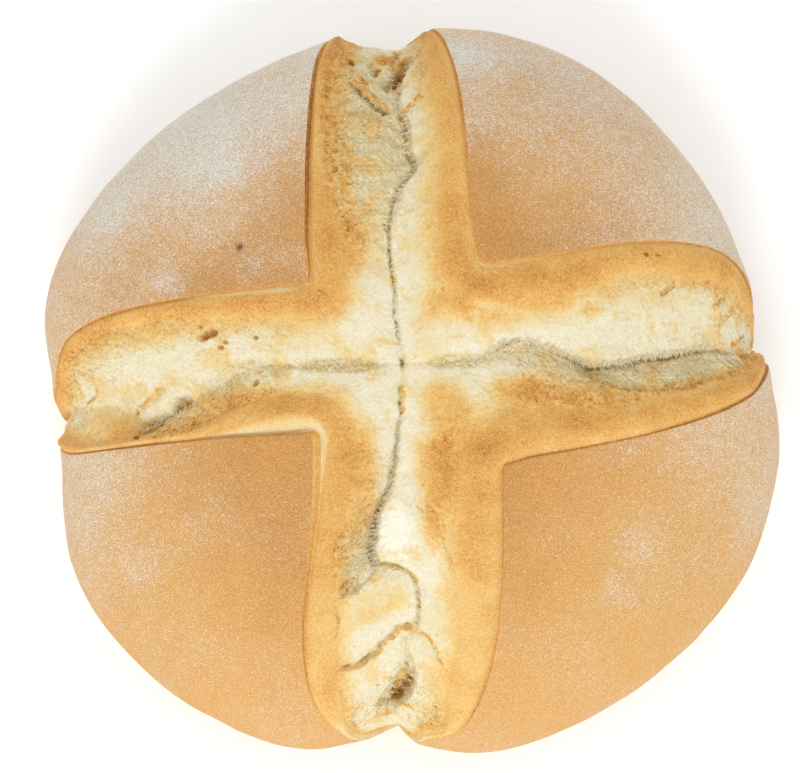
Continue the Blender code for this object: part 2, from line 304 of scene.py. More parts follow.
# %% Relief: how each side of each cut changes along its length
# A row holds the distance out along the cut and then these values: the widths of the ridge,
# the porous band and the wall; how far the wall drops and the ridge rises over its foot; the
# height of the shoulder by the crack; how full the slope to it is and within what distance it
# rolls down to the floor; how torn the crumb is; the width of the ridge's pale foot; how
# toasted the ridge's crest is; and how dark the wall is, toasted and with painted shade where
# it faces away from the lamp
VALUES = ("ridge", "band", "wall", "step", "rise", "shoulder", "fullness", "roll", "torn", "pale",
          "crest", "scorch")
SIDES = {
    ("north_west", "north"): (
        ( 24,   10,   4,  0.5,  1.6, 1.5, -3.4,  1.3, 0.8, 0.15,   0,  0.6,  0.6),
        ( 38,   10,   5,  0.9,  1.8, 1.6,   -4,  1.2,   1,  0.5,   0, 0.66, 0.82),
        ( 50,  6.5,   7,  0.9,  1.9, 1.6, -4.4,  1.1, 1.2,  0.8,   0, 0.58, 0.86),
        ( 62,    5, 6.5,  0.9,  1.9, 1.5, -4.8,    1, 1.6,  0.9,   0, 0.44, 0.88),
        ( 80,  4.5, 6.5,    1,  1.6, 1.5, -5.2,    1, 1.6,  0.9,   0, 0.54, 0.88),
        ( 95,  4.5,   5,    1,  0.6, 1.1,   -5,  1.2, 1.6,  0.8,   0, 0.68, 0.84),
        (106,    5,   4,  1.2, -0.3, 0.5, -3.4,  0.6, 1.6,  0.5,   0, 0.76, 0.84),
        (120,    4,   3,  1.2, -0.4, 0.4,   -3, 0.55,   2,  0.5,   0, 0.74,  0.8)),
    ("north_west", "west"): (
        ( 24,   10,   4,  0.5,  1.6, 1.5, -3.4,  1.3, 1.5, 0.15, 0.4,  0.6,  0.6),
        ( 38,    8,   4,  0.3,  1.3, 1.6, -3.4,  1.8, 1.2,  0.3, 1.7, 0.64,  0.6),
        ( 50,    7, 4.5,  0.3,  1.1, 1.6, -3.4,    2, 1.2, 0.35, 0.9, 0.64,  0.6),
        ( 65,    5,   6,  0.3,    1, 1.6, -3.8,  2.2, 1.6, 0.35,   0,  0.6, 0.64),
        ( 80,  3.5,   7,  0.3,  0.9, 1.7,   -4,  2.2, 2.5,  0.3,   0,  0.6, 0.68),
        ( 95,    4,   6,  0.3,  0.8, 1.9,   -4,    2, 2.5,  0.4,   0,  0.6, 0.68),
        (106,  4.5,   4,  0.3,  0.9, 1.1, -3.5,  1.6,   2,  0.4,   0,  0.6, 0.66),
        (120,    4,   3,  0.3,    1, 0.6, -3.4,  1.5,   2,  0.4,   0,  0.6,  0.6)),
    ("north_east", "north"): (
        ( 26,   12,   4, 0.35,  1.2, 1.7, -3.2,  1.7, 0.8,  0.1, 0.6, 0.64,  0.6),
        ( 38,  9.5,   6, 0.35,  1.2, 1.7, -3.4,  1.8, 0.8, 0.12,   0, 0.68,  0.6),
        ( 55,    8,   6, 0.35,  1.1, 1.7, -3.8,    2, 0.9, 0.15,   0, 0.58,  0.6),
        ( 72,  7.5,   5, 0.35,    1, 1.8, -4.2,    2,   1,  0.2,   0, 0.54,  0.6),
        ( 88,  7.5,   4, 0.35,  0.9, 1.9, -4.4,  1.8, 1.4,  0.3,   0, 0.58,  0.6),
        (102,    6,   3, 0.35,  0.9,   1, -3.6,  0.9, 1.4,  0.4,   0, 0.66, 0.66),
        (112,    4,   3, 0.35,  0.7, 0.4, -3.2,  0.6, 1.4,  0.5,   0, 0.68,  0.7)),
    ("north_east", "east"): (
        ( 24,   12,   4, 0.35,  1.2, 1.7, -3.2,  1.7, 1.2,  0.1, 1.2, 0.64,  0.6),
        ( 38, 12.5,   5,  0.3,  1.2, 1.7, -3.2,  1.8, 1.2, 0.15, 0.5,  0.7,  0.6),
        ( 50,   11,   6,  0.3,  1.1, 1.7, -3.6,  2.1, 0.8, 0.25,   0, 0.62,  0.6),
        ( 62,    9,   4,  0.3,    1, 1.8,   -4,  2.3, 0.8,  0.3,   0, 0.58,  0.6),
        ( 78, 10.5,   3,  0.3, 0.95, 1.8, -4.2,  2.2, 0.8,  0.3,   0, 0.62,  0.6),
        ( 92,   10, 3.5,  0.3,  0.9, 1.9, -4.2,    2,   1,  0.4,   0, 0.62, 0.62),
        (103,    9,   4,  0.3,  1.1, 1.1,   -3,  1.8,   2,  0.4,   0, 0.62, 0.66),
        (116,    8,   3,  0.3,  1.3, 0.5,   -3,  1.5,   2,  0.4,   0,  0.6, 0.66)),
    ("south_east", "east"): (
        ( 24,   14,   6,  0.4,  1.2, 1.6, -3.4,  1.4, 1.2,  0.2,   0, 0.64, 0.74),
        ( 38,   12,   8,  0.4,  1.2, 1.7, -3.8,  1.4, 1.2,  0.5,   0,  0.6, 0.76),
        ( 50, 10.5,   7,  0.4,  1.1, 1.7, -4.6,  1.3, 1.2,  0.9,   0,  0.6, 0.76),
        ( 65,  9.5, 3.5,  0.4, 1.05, 1.7, -5.2,  1.3, 1.2,    1,   0, 0.58, 0.76),
        ( 80,  8.5, 2.5,  0.4,    1, 1.8, -5.2,  1.4, 1.2,  0.9,   0, 0.62, 0.78),
        ( 92,  7.5,   2,  0.4,  0.9,   2,   -5,  1.5, 1.2,  0.8,   0, 0.66,  0.8),
        (103,    6,   3,  0.4,  0.7, 1.3, -3.4,  1.5, 1.5,  0.5,   0, 0.64, 0.84),
        (116,    5,   3,  0.4,  0.9, 0.5, -3.4,  1.5, 1.5,  0.5,   0, 0.64,  0.8)),
    ("south_east", "south"): (
        ( 24,   14,   7, 0.35,  1.1, 1.6, -3.4,  1.6, 0.8, 0.15,   0, 0.64, 0.66),
        ( 36,   13,   8,  0.3,    1, 1.7, -3.2,    2, 0.8,  0.2,   0, 0.62, 0.64),
        ( 50, 12.5,   5,  0.3,  0.9, 1.7, -3.4,  2.2, 0.9, 0.15,   0, 0.56,  0.6),
        ( 65, 10.5,   5,  0.3,  0.9, 1.7, -3.8,  2.2, 0.8, 0.15,   0, 0.45, 0.58),
        ( 80,   10,   5,  0.3,  0.9, 1.8, -4.2,    2, 1.2,  0.2,   0, 0.43, 0.58),
        ( 95,    8,   5,  0.3,  0.8, 1.9,   -4,  1.7, 1.6, 0.25,   0, 0.48,  0.6),
        (106,    3,   3,  0.3,  0.4, 0.3,   -3,  0.5, 1.6,  0.5,   0,  0.4,  0.5),
        (120,  1.5,   2,  0.3,  0.3, 0.2, -2.6, 0.45,   2,  0.5,   0, 0.25,  0.3)),
    ("south_west", "south"): (
        ( 20,    8,   6,  2.4,  1.6, 1.5, -3.4,  1.5, 0.8,  0.2,   1, 0.58,  0.5),
        ( 34,    7,   7,  1.9,  1.8, 1.5,   -4,  1.4, 0.9, 0.35,   0,  0.6, 0.52),
        ( 50,    6,   3,  1.2,  1.6, 1.5, -4.3,  1.6, 1.2,  0.5,   0, 0.56, 0.58),
        ( 62,  8.5,   4,  0.6,  1.3, 1.6, -3.8,    2, 0.9,  0.2,   0, 0.46, 0.64),
        ( 80,    8,   4, 0.35,  1.1, 1.7, -4.2,  1.9, 1.6,  0.2,   0, 0.52, 0.62),
        ( 95,    6,   4, 0.35,  0.9, 1.8,   -4,  1.7, 1.6, 0.25,   0, 0.52,  0.6),
        (106,    2,   2,  0.3,  0.4, 0.3,   -3, 0.45, 1.6,  0.5,   0, 0.25, 0.45),
        (120,  1.5, 1.5,  0.3,  0.3, 0.2, -2.6, 0.45,   2,  0.5,   0,  0.2,  0.3)),
    ("south_west", "west"): (
        ( 22,    8,   5,  1.6,  1.7, 1.5, -3.2,  1.5, 1.2, 0.15, 2.6, 0.58, 0.56),
        ( 35,   10,   3,  0.4,  1.7, 1.6, -3.2,  1.6, 1.2,  0.3, 4.2, 0.62, 0.66),
        ( 47,  8.5,   5,  0.4,  1.4, 1.5, -3.6,  1.5, 1.2,  0.5, 1.8, 0.58, 0.68),
        ( 60,    4, 5.5,  0.4,  1.2, 1.4, -4.3,  1.3, 1.2,  0.6,   0,  0.5, 0.68),
        ( 80,  2.5,   5,  0.4,    1, 1.4, -4.6,  1.3, 1.4, 0.35,   0, 0.48,  0.7),
        ( 97,  2.5,   5, 0.35,  0.8, 1.6, -4.4,  1.5, 1.6,  0.3,   0,  0.5, 0.68),
        (107,    5,   4,  0.3,  0.6, 1.4,   -3,  1.5,   2,  0.4,   0, 0.56,  0.6),
        (120,    4,   3,  0.3,  0.5, 1.2, -2.6,  1.5,   2,  0.4,   0,  0.6,  0.6)),
}
# Along each crack: (distance out, height of its floor, how torn the crumb is)
CRACKS = {
    "north": ((0, -3.7, 0.1), (25, -4.1, 0.3), (45, -4.6, 0.7), (60, -5.1, 0.8), (78, -5.6, 0.8),
              (92, -5.8, 0.8), (104, -3.8, 0.7), (120, -3, 0.5), (TIP, -1.5, 0.5)),
    "east": ((0, -3.5, 0.3), (25, -3.8, 0.9), (42, -4.6, 0.9), (52, -5.8, 1), (70, -6, 1), (86, -5.6, 1),
             (98, -4, 0.8), (106, -2.8, 0.6), (120, -2.2, 0.5), (TIP, -1.5, 0.5)),
    "south": ((0, -3.7, 0.1), (25, -4.1, 0.4), (40, -5, 0.9), (52, -5.4, 1), (62, -4.3, 0.5),
              (76, -4.6, 0.6), (94, -5.4, 0.7), (101, -6.2, 0.7), (107, -4.6, 0.6), (112, -3.4, 0.5),
              (122, -2.6, 0.5), (TIP, -1.5, 0.5)),
    "west": ((0, -3.5, 0.3), (25, -3.6, 0.8), (45, -3.7, 0.9), (60, -4.2, 0.6), (72, -4.5, 0.8),
             (85, -4.4, 0.4), (98, -4.2, 0.4), (106, -3, 0.5), (120, -2.6, 0.5), (TIP, -1.5, 0.5)),
}
CURL, CURL_REACH = 0.9, 6.0                   # the crust's rise at its cut edge, and how far back it starts
# Burst blisters: (p, q, half-width and depth of the dent, radius of the scorch, how dark)
BLISTERS = ((-47, 34.4, 1.9, 0.8, 0.95, 0.95), (-55.4, -87.8, 2.2, 0.3, 0.8, 0.3))


def skin_relief(points, depth_in):
    """Height of the crust over the plain body: swells, small unevenness and the curl at its edge."""
    swells = 0.7 * noise(points, 34, 3) + 0.28 * noise(points, 13, 9) + 0.10 * noise(points, 5, 21)
    for at_p, at_q, half_width, deep, _, _ in BLISTERS:
        swells -= deep * bell(np.linalg.norm(points - on_body(at_p, at_q), axis=-1), half_width)
    return swells + CURL * bell(np.minimum(depth_in, 0), CURL_REACH)


print("sides of the cuts:", len(SIDES))

# %% [markdown]
# ## Flour and browning of the crust
#
# The loaf was dusted with flour before baking and the crust browned through it. The flour is
# thick on the outer slopes of the two far quarters and thin on the near ones. The crust is
# browner along the cuts and brownest near the inner corner of each quarter. Both are values
# at each point of the mesh, and the finish adds the speckle that is finer than the mesh.

# %% Flour and browning
# How much flour lies on the outer slopes: (direction in degrees, amount)
FLOUR_BY_DIRECTION = ((-180, 0.44), (-162, 0.46), (-145, 0.24), (-120, 0.12), (-95, 0.14), (-60, 0.14),
                      (-35, 0.2), (-10, 0.5), (10, 0.6), (30, 0.62), (60, 0.56), (85, 0.62), (115, 0.78),
                      (140, 0.74), (158, 0.46), (168, 0.45), (180, 0.44))
# Places where flour was left thick: (p, q, radius, amount)
FLOUR_PATCHES = ((-64.5, 24.6, 5, 0.35), (-87.9, 46.8, 12, 0.3), (-42.6, 28, 5, 0.25),
                 (-54.9, 58.7, 9, 0.35), (-31.4, 31, 6, 0.2), (14.5, 91.8, 8, 0.35), (58.8, -44.4, 6, 0.2),
                 (53.5, -57.9, 5, 0.22), (55.8, -20, 7, 0.15), (-72.3, -50.2, 8, 0.15), (-62, 78, 12, 0.2))
# Browner places: (p, q, radius, amount), and (radius, amount) at the corners
BROWN_PATCHES = ((42, 92, 26, 0.3), (80, 45, 26, 0.25), (56, 90, 34, 0.45), (-90, 35, 30, 0.4),
                 (-40, 34, 9, 0.35), (-47, 34, 3.5, 0.5), (-70, 45, 14, 0.2), (-35, 60, 16, 0.25),
                 (-45, -35, 24, 0.25), (-50, -80, 40, 0.2), (60, 60, 40, 0.1), (50, -45, 20, 0.15))
BROWN_CORNERS = {"north_west": (30, 0.75), "north_east": (32, 0.78),
                 "south_west": (34, 0.85), "south_east": (24, 0.6)}


def patches(p, q, rows, power=2):
    """Sum of bell-shaped patches, rows of (p, q, radius, amount)."""
    return sum(amount * bell(np.hypot(p - at_p, q - at_q), radius, power)
               for at_p, at_q, radius, amount in rows)


def flour_and_browning(p, q):
    """Two values at each point of the crust, 0 to 1: how much flour lies there, how brown it is.

    Brown goes past 1 at a burst blister, which is scorched.
    """
    where, distance, direction = flat(p, q), np.hypot(p, q), np.degrees(np.arctan2(q, p))
    cloud = noise(where, 26, 71) + 0.6 * noise(where, 11, 73) + 0.35 * noise(where, 4, 77)
    flour = curve(FLOUR_BY_DIRECTION, direction) * smoothstep(34, 104, distance) + 0.13 * cloud + 0.04
    flour += patches(p, q, FLOUR_PATCHES) * (1 + 0.8 * noise(where, 3.2, 79))
    brown = 0.42 * bell(inside_cut(p, q), 16) * smoothstep(105, 60, distance)
    brown += patches(p, q, [(*CORNERS[quarter], *spread) for quarter, spread in BROWN_CORNERS.items()])
    brown += patches(p, q, BROWN_PATCHES) + 0.22 * noise(where, 22, 83) + 0.12 * noise(where, 7, 87)
    scorches = [(at_p, at_q, radius, dark) for at_p, at_q, _, _, radius, dark in BLISTERS]
    return np.clip(flour, 0, 1.3), np.clip(brown, 0, 1) + patches(p, q, scorches, power=4)


print("patches of flour and of browning:", len(FLOUR_PATCHES), len(BROWN_PATCHES))

# %% [markdown]
# ## Making a mesh from a grid
#
# The large pieces are made the same way. A shape is a grid of points whose columns run round a
# closed section and whose rows follow the path, so the faces are index arithmetic on whole
# arrays. A last point at each end closes it, which leaves no seam and no hole.

# %% Grid to mesh


def new_piece(name, vertices, corners, sizes, values, smooth=True):
    """Object from points in mm, its faces' corners in a row, the faces' sizes and values by name."""
    mesh = bpy.data.meshes.new(name)
    mesh.vertices.add(len(vertices))
    mesh.vertices.foreach_set("co", (vertices / 1000).ravel())
    mesh.loops.add(len(corners))
    mesh.loops.foreach_set("vertex_index", corners.astype(np.int32))
    mesh.polygons.add(len(sizes))
    mesh.polygons.foreach_set("loop_start", np.concatenate([[0], np.cumsum(sizes)[:-1]]).astype(np.int32))
    mesh.update(calc_edges=True)
    if smooth:
        mesh.shade_smooth()
    else:
        mesh.shade_flat()
    for key, value in values.items():
        mesh.attributes.new(key, "FLOAT", "POINT").data.foreach_set("value", value.astype(np.float32))
    piece = bpy.data.objects.new(name, mesh)
    bpy.context.scene.collection.objects.link(piece)
    print("%s: %d triangles" % (name, np.sum(sizes - 2)))
    return piece


def closed_mesh(name, grid, values, second_finish=None):
    """Closed object from a grid (rows, columns, xyz) in mm whose columns close on themselves.

    Faces join each point to its neighbours in the next column and row, and a fan to the mean
    of the first and of the last row closes the ends. values hold a number for each point, and
    second_finish says which columns' faces take the piece's second material.
    """
    rows, columns, _ = grid.shape
    vertices = np.concatenate([grid.reshape(-1, 3), grid[:1].mean(1), grid[-1:].mean(1)])
    column = np.arange(columns)
    beside = (column + 1) % columns
    row = columns * np.arange(rows - 1)[:, None]
    quads = np.stack([row + column, row + beside, row + columns + beside, row + columns + column], -1)
    last, start, end = (rows - 1) * columns, rows * columns, rows * columns + 1
    first_fan = np.stack([beside, column, np.full(columns, start)], -1)
    last_fan = np.stack([last + column, last + beside, np.full(columns, end)], -1)
    corners = np.concatenate([part.ravel() for part in (quads, first_fan, last_fan)])
    sizes = np.concatenate([np.full((rows - 1) * columns, 4), np.full(2 * columns, 3)])
    values = {key: np.append(value.ravel(), (value[0].mean(), value[-1].mean()))
              for key, value in values.items()}
    piece = new_piece(name, vertices, corners, sizes, values)
    if second_finish is not None:
        finish = np.concatenate([np.tile(second_finish, rows - 1), second_finish, second_finish])
        piece.data.polygons.foreach_set("material_index", finish.astype(np.int32))
    return piece


# %% [markdown]
# ## Tears, holes and scorched places
#
# The crumb tore in one-off ways: a cushion of dough folded over the floor of the crack, a
# layer lifted and scorched at its edge, a bubble burst. These are listed. A tear is a bent
# line: the dough on its left is lifted, that on its right sinks, and a gap opens between.
# The places are laid out as seen from above, on the plain body.

# %% Tears, holes and scorched places
# (line, drop, reach of the lift and drop, depth of the gap, its half-width, painted shade in the gap, scorch,
# hairs a mm)
TEARS = (
    # North arm: the cushion's edge over the slope, the rift below it, and the folds at the end
    (((-4.5, 78), (-2.6, 75), (-1.8, 72), (-2.0, 68), (-1.3, 63), (0.2, 60.5), (0.6, 58), (-1.2, 56),
      (-3.2, 53.6), (-4.8, 50.5)), 1.2, 4, 0.6, 0.6, 0.45, 0, 6),
    (((-4.4, 51.5), (-5.6, 47), (-6.4, 42), (-6.6, 36)), 0.5, 3, 0.6, 0.4, 0.6, 0, 4),
    (((-6.6, 37), (-6.3, 31), (-5.5, 26), (-5.0, 21)), 0.3, 3, 0.6, 0.26, 0.7, 0, 2),
    (((-19, 88.5), (-16, 85.8), (-13.5, 82.8), (-11, 80), (-8.5, 78.3), (-6.5, 77)),
      1.8, 3, 0.9, 0.8, 0.75, 0.7, 1),
    (((-0.3, 98.5), (-1.5, 95), (-3.5, 91), (-5.5, 87), (-6, 84)), 1.2, 3, 2.2, 1.9, 0.8, 0.7, 2),
    (((-12.5, 97.5), (-11, 93), (-10, 91)), 0.4, 2, 1.0, 1.0, 0.7, 0.5, 1),
    (((-6.5, 94), (-6.8, 98), (-5.5, 102), (-5, 106)), 0.9, 2, 0.5, 0.6, 0.4, 0.7, 0),
    (((-5.5, 75.8), (-2.5, 77.2), (0, 79.3), (3.2, 82.2)), 0.5, 2, 0.4, 0.3, 0.4, 0.72, 0),
    # The middle: rifts of the long crack, and a crease in the ridge
    (((-5.2, 22), (-5.4, 17), (-4.5, 12), (-3.9, 6.5)), 0.3, 2, 0.6, 0.26, 0.6, 0, 2),
    (((-3.3, 4.7), (-2.7, 2.2), (-2.2, 0.4)), 0, 1, 1.2, 0.42, 0.7, 0.4, 0),
    (((-3.2, -2.6), (-3.2, -6), (-3.4, -9), (-2.9, -11.8)), 0, 1, 1.0, 0.34, 0.7, 0.55, 0),
    (((-25.8, 22.2), (-23, 20.6), (-20.3, 19)), 0.3, 1.5, 0.4, 0.25, 0.35, 0, 0),
    (((-3.6, -12), (-4.3, -18), (-4.8, -24), (-5.6, -29)), 0.3, 2, 0.4, 0.36, 0.4, 0, 5),
    (((-5.3, -28), (-6.5, -31), (-8.3, -35)), 0.6, 2.5, 0.4, 0.5, 0.35, 0, 5),
    # South arm: the cushion's edge over the pit, the two flaps and the pit at the end
    (((-6.5, -33), (-8.8, -38), (-10.2, -43), (-10.2, -50), (-9.2, -53.8)), 2.0, 4, 0.6, 0.9, 0.24, 0, 8),
    (((-9, -54), (-12, -56), (-15, -58.4), (-20, -59.4)), 1.0, 2.5, 0.3, 0.4, 0.15, 0.42, 2),
    (((-9.2, -54), (-5, -55.8), (-1, -57.2), (0.5, -60)), 0.4, 2.5, 0.25, 0.3, 0.35, 0.5, 2),
    (((0.5, -60.5), (1.0, -64), (1.0, -69), (-0.1, -72)), 0.4, 3, 0.4, 0.4, 0.4, 0.2, 2),
    (((-0.5, -72), (-4.5, -74), (-7.5, -77.5)), 1.0, 4, 0.7, 0.42, 0.5, 0.7, 1),
    (((-7, -77), (-10.5, -80.3), (-15, -81.6), (-20.8, -80.8)), 1.3, 4, 0.7, 0.42, 0.55, 0.75, 1),
    (((-2.6, -82.5), (-1.4, -88), (-2, -92), (-4, -95.5), (-6, -98.5), (-11, -101.8)),
      0.9, 4, 1.0, 1.3, 0.5, 0, 1),
    (((-1, -73), (3, -74), (5, -76), (7, -80), (10, -84)), 0.6, 2.5, 0.25, 0.28, 0.3, 0.66, 0),
    (((-1, -37), (3.5, -39.3), (6.5, -43), (9, -48), (10, -54), (12.5, -57.5)),
      0.4, 2, 0.2, 0.28, 0.2, 0.66, 0),
    (((-21, -71), (-20.2, -67), (-20.1, -62)), 0.4, 2, 0.3, 0.35, 0.3, 0.55, 0),
    (((-19, -95), (-20, -91), (-20.8, -86)), 0.4, 2, 0.2, 0.3, 0.2, 0.55, 0),
    # West arm: a lifted flake over two pits, and the pocket at the end
    (((-79.5, -9.6), (-76.5, -7.8), (-73, -5.2), (-69.5, -2.8)), 0.9, 3, 0.3, 0.5, 0.15, 0.6, 1),
    (((-69, -9.5), (-66, -8), (-64, -6.3), (-62, -9)), 0, 2, 0.7, 1.1, 0.5, 0, 2),
    (((-80, -15.4), (-76, -15.2), (-73, -13.5), (-70.5, -11.5)), 0.3, 2, 0.7, 0.9, 0.55, 0, 3),
    (((-99.5, 4.2), (-97, 2.4), (-94, 0.5), (-92.5, -3.5), (-94.5, -5.7), (-98.8, -7.2)),
      1.4, 3, 0.4, 0.5, 0.25, 0.45, 1),
    (((-101, 1.5), (-100.8, -2), (-99.6, -6.5)), 0.5, 2, 0.3, 0.5, 0.2, 0.5, 0),
    # East arm: the cushion's edge over the rough floor, the strands and scorched layers at the end
    (((37, 8), (43, 5.5), (46.5, 4), (50, 2.8), (55, 3.2), (60, 4), (65, 5.8), (70, 6.3), (75, 7.3),
      (80, 8.5), (85, 10.3), (88.5, 11.3)), 1.2, 4, 0.4, 0.6, 0.3, 0, 12),
    (((20, 4.6), (25, 8.2), (31, 9.7), (36.5, 8.2)), 0.4, 2.5, 0.2, 0.5, 0.1, 0, 5),
    (((90, 1.5), (83, -1.2), (75, -3.8), (65, -4.8), (57, -4.6), (51, -2.6), (46, 0), (42, 3)),
      0.9, 3, 0.2, 0.4, 0.1, 0, 0),
    (((90, 10.4), (93.5, 6.8), (97.8, 4.2)), 0.4, 1.5, 0.6, 0.3, 0.4, 0, 0),
    (((88.3, 9.8), (91, 6), (94.2, 3.2)), 0.4, 1.5, 0.6, 0.3, 0.4, 0, 0),
    (((92.2, 10.4), (96, 7.4), (99.5, 6.0)), 0.3, 1.2, 0.5, 0.25, 0.3, 0, 0),
    (((70.3, 22.8), (73, 24.8), (75.8, 27.2)), 0.6, 2, 0.5, 0.5, 0.6, 0.88, 0),
    (((89.5, 21.3), (92.5, 24), (95.4, 26.4)), 0.6, 2, 0.5, 0.6, 0.4, 0.86, 0),
    (((91, 14), (93.5, 17.5), (96, 20), (99.8, 24.2)), 0.8, 2.5, 0.5, 0.4, 0.5, 0.84, 0),
    (((95.5, 10.3), (98, 12), (101, 13.8), (105, 15.4)), 0.8, 2.5, 0.4, 0.5, 0.5, 0.84, 0),
)
# Single holes: (p, q, half-width, half-depth, turn in degrees, depth, how dark: browned, and painted shade)
HOLES = (
    # The middle
    (16, -28, 0.35, 0.5, 0, 0.4, 0.6),
    # North arm
    (-4.2, 91.5, 1.8, 4.2, -22, 1.6, 0.8), (-10.6, 93.3, 1.1, 2, -10, 1, 0.7),
    (-18.6, 96, 1.1, 1.9, 30, 1.1, 0.95), (-19.7, 90, 0.5, 0.6, 0, 0.5, 0.5),
    (-22.6, 73, 1.2, 1.8, -10, 0.5, 0.4), (-21.9, 57.6, 0.7, 1.1, 0, 0.7, 0.6),
    (-22, 66.8, 0.5, 0.8, 0, 0.6, 0.5), (-22.2, 63, 0.5, 0.6, 0, 0.6, 0.5),
    (-8, 41.5, 0.4, 0.3, 0, 0.6, 0.8), (-8, 40.2, 0.3, 0.4, 0, 0.6, 0.8),
    # South arm
    (-3.8, -91.5, 7.5, 2.6, 75, 1.6, 0.3), (-5.2, -97.2, 2.4, 1.2, 50, 0.8, 0.75),
    # West arm
    (-55.4, 9.8, 2.2, 1.3, 20, 1.5, 0.72), (-53.2, 10.6, 1.9, 1.2, 10, 1.4, 0.7),
    (-51.5, 6.9, 1.1, 0.85, 0, 0.8, 0.62), (-50, 8.1, 0.75, 0.6, 0, 0.6, 0.5),
    (-56.3, 12.3, 0.8, 0.6, 0, 0.6, 0.6), (-41.3, 9, 0.9, 0.65, 20, 0.6, 0.6),
    (-44, -3, 1.6, 0.8, 45, 0.7, 0.6), (-65.8, -8.2, 2.6, 1.5, 20, 0.8, 0.3),
    (-79.6, -10, 0.6, 1, 0, 0.6, 0.6), (-79, -17.6, 1.3, 0.6, -20, 0.7, 0.8),
    (-60.8, 14.2, 0.5, 0.4, 0, 0.5, 0.5), (-68.5, 14.6, 1.2, 0.8, 0, 0.5, 0.4),
    (-87.3, 12.8, 0.7, 0.5, 0, 0.5, 0.5), (-44, 3, 1, 0.8, 0, 0.5, 0.25),
    (-42.5, 0.1, 1, 0.5, 0, 0.5, 0.2), (-34, 1.3, 1, 0.8, 0, 0.5, 0.2), (-46.5, 2, 0.5, 0.8, 0, 0.4, 0.2),
    # East arm
    (65.3, 34, 1.1, 0.7, 0, 0.5, 0.85), (68.8, 34.3, 0.9, 0.4, 10, 0.4, 0.8),
    (83, 36.5, 0.35, 0.5, 0, 0.3, 0.5),
)
# Rough places, some greyed by painted shade in their hollows: (p, q, half-length, half-width, turn in
# degrees, how torn, how deep, how much painted shade)
ROUGH = (
    (-43, 0.8, 11, 3.4, 0, 0.8, 0.2, 0.06), (-20, 1.5, 15, 2.4, 0, 1, 0.15, 0.12),
    (14, 3.2, 12, 2.5, 3, 0.9, 0.15, 0.09), (32, 4.5, 14, 4.4, -8, 0.9, 0.3, 0.05),
    (62, 0.5, 20, 4.4, 2, 0.9, 0.2, 0.04), (51, 0.8, 5, 2.6, 0, 1, 0.5, 0.2),
    (82, 4, 10, 4, 15, 0.9, 0.3, 0.05), (-14, -47, 12, 4.8, 72, 1, 0.3, 0.08),
    (-16.5, -56, 3, 3, 0, 1, 0.6, 0.2), (-54, -3, 9, 3.2, 20, 0.7, 0.2, 0.05),
    (-65.5, -8, 3.6, 2.3, 10, 1, 0.6, 0.26), (-74, -13.5, 6, 2.2, 25, 1, 0.6, 0.26),
    (-5.4, -26, 9, 1.6, 82, 0.7, 0.2, 0.1), (-4, 60, 18, 2.5, 85, 0.9, 0.2, 0.03),
    (-6, -97, 7, 4, 60, 0.9, 0.9, 0.22), (-12, 62, 22, 8, 95, 0.5, 0, 0), (-88, -12, 12, 6, -5, 0.3, 0, 0),
    (-12, -27, 12, 5, 85, 0.4, 0, 0), (-85, 11, 14, 3.5, -8, 0.5, 0, 0), (-66, -11, 10, 3, 30, 0.5, 0, 0),
)
# Hotter or cooler places: (p, q, half-length, half-width, turn in degrees, toast added)
HEAT = (
    # The middle
    (9, 17, 8, 5.5, -15, 0.24), (8, -10, 7, 8, 0, 0.34), (6, -27, 6, 14, 0, 0.28), (5, 6, 5, 4, 0, 0.08),
    (27, -4, 8, 4, 0, 0.2), (19, -21, 5, 6, -20, 0.05), (-24, 15, 8, 4, -15, 0.08),
    (17, 24, 6, 3, -20, 0.1), (-7.5, 8.2, 3, 1, -10, 0.25), (30, -6, 16, 5, -8, 0.08),
    (-13, -22, 5, 12, 0, 0.16), (-26, -8.5, 6, 3, 0, 0.06), (22, 13, 9, 2.5, 0, 0.14),
    (24, 17.5, 10, 1.3, -8, -0.14), (-30, 8, 14, 3, 0, 0.08), (3, 22, 6, 24, 0, 0.05),
    # North arm
    (-9, 99, 3.5, 3.5, 0, 0.5), (-3, 97.5, 3, 1.5, 40, 0.45), (-14.6, 87.6, 3.4, 1, -62, 0.45),
    (-11, 81.8, 3.2, 0.9, -52, 0.35), (-19, 53, 1.5, 4, 0, 0.2), (-14, 36, 6, 12, 0, 0.16),
    # South arm
    (4.6, -43, 3.2, 8, 0, 0.26), (-5, -46, 5, 9, 0, -0.12), (-8.6, -104.8, 3.2, 1.8, 0, 0.4),
    (-2.5, -99.6, 3, 1, 0, 0.4), (-10, -57, 2, 1, 0, 0.3), (-11, -64, 7, 6, 0, 0.13),
    (5, -75, 4, 14, 0, 0.05),
    # West arm
    (-90, -11, 12, 4, -5, 0.14), (-95, 0.5, 3, 2.5, 0, 0.2), (-88, -14, 14, 5, 0, 0.12),
    (-45, -8, 16, 3, 0, 0.1),
    # East arm
    (50, 17.5, 4, 2.5, 0, 0.25), (40, -13, 7, 3, -15, 0.1), (101, 10, 3, 3, 0, 0.3),
    (34, 16, 14, 5, 5, 0.1), (70, 22, 16, 3, 5, 0.12),
)


def seen_at(p, q, height):
    """The place on the plain body straight above sunk crumb, which on a slope lies nearer the middle."""
    nearer = 1 + np.clip(height, -6, 0) * lean(p, q) / np.maximum(np.hypot(p, q), 20)
    return p * nearer, q * nearer


def ovals(p, q, rows):
    """For each oval of a table, the distance from its middle, 1 at its rim, and its other values."""
    for at_p, at_q, half_length, half_width, turn, *values in rows:
        cosine, sine = np.cos(np.radians(turn)), np.sin(np.radians(turn))
        along, aside = (p - at_p) * cosine + (q - at_q) * sine, (q - at_q) * cosine - (p - at_p) * sine
        yield np.hypot(along / half_length, aside / half_width), values


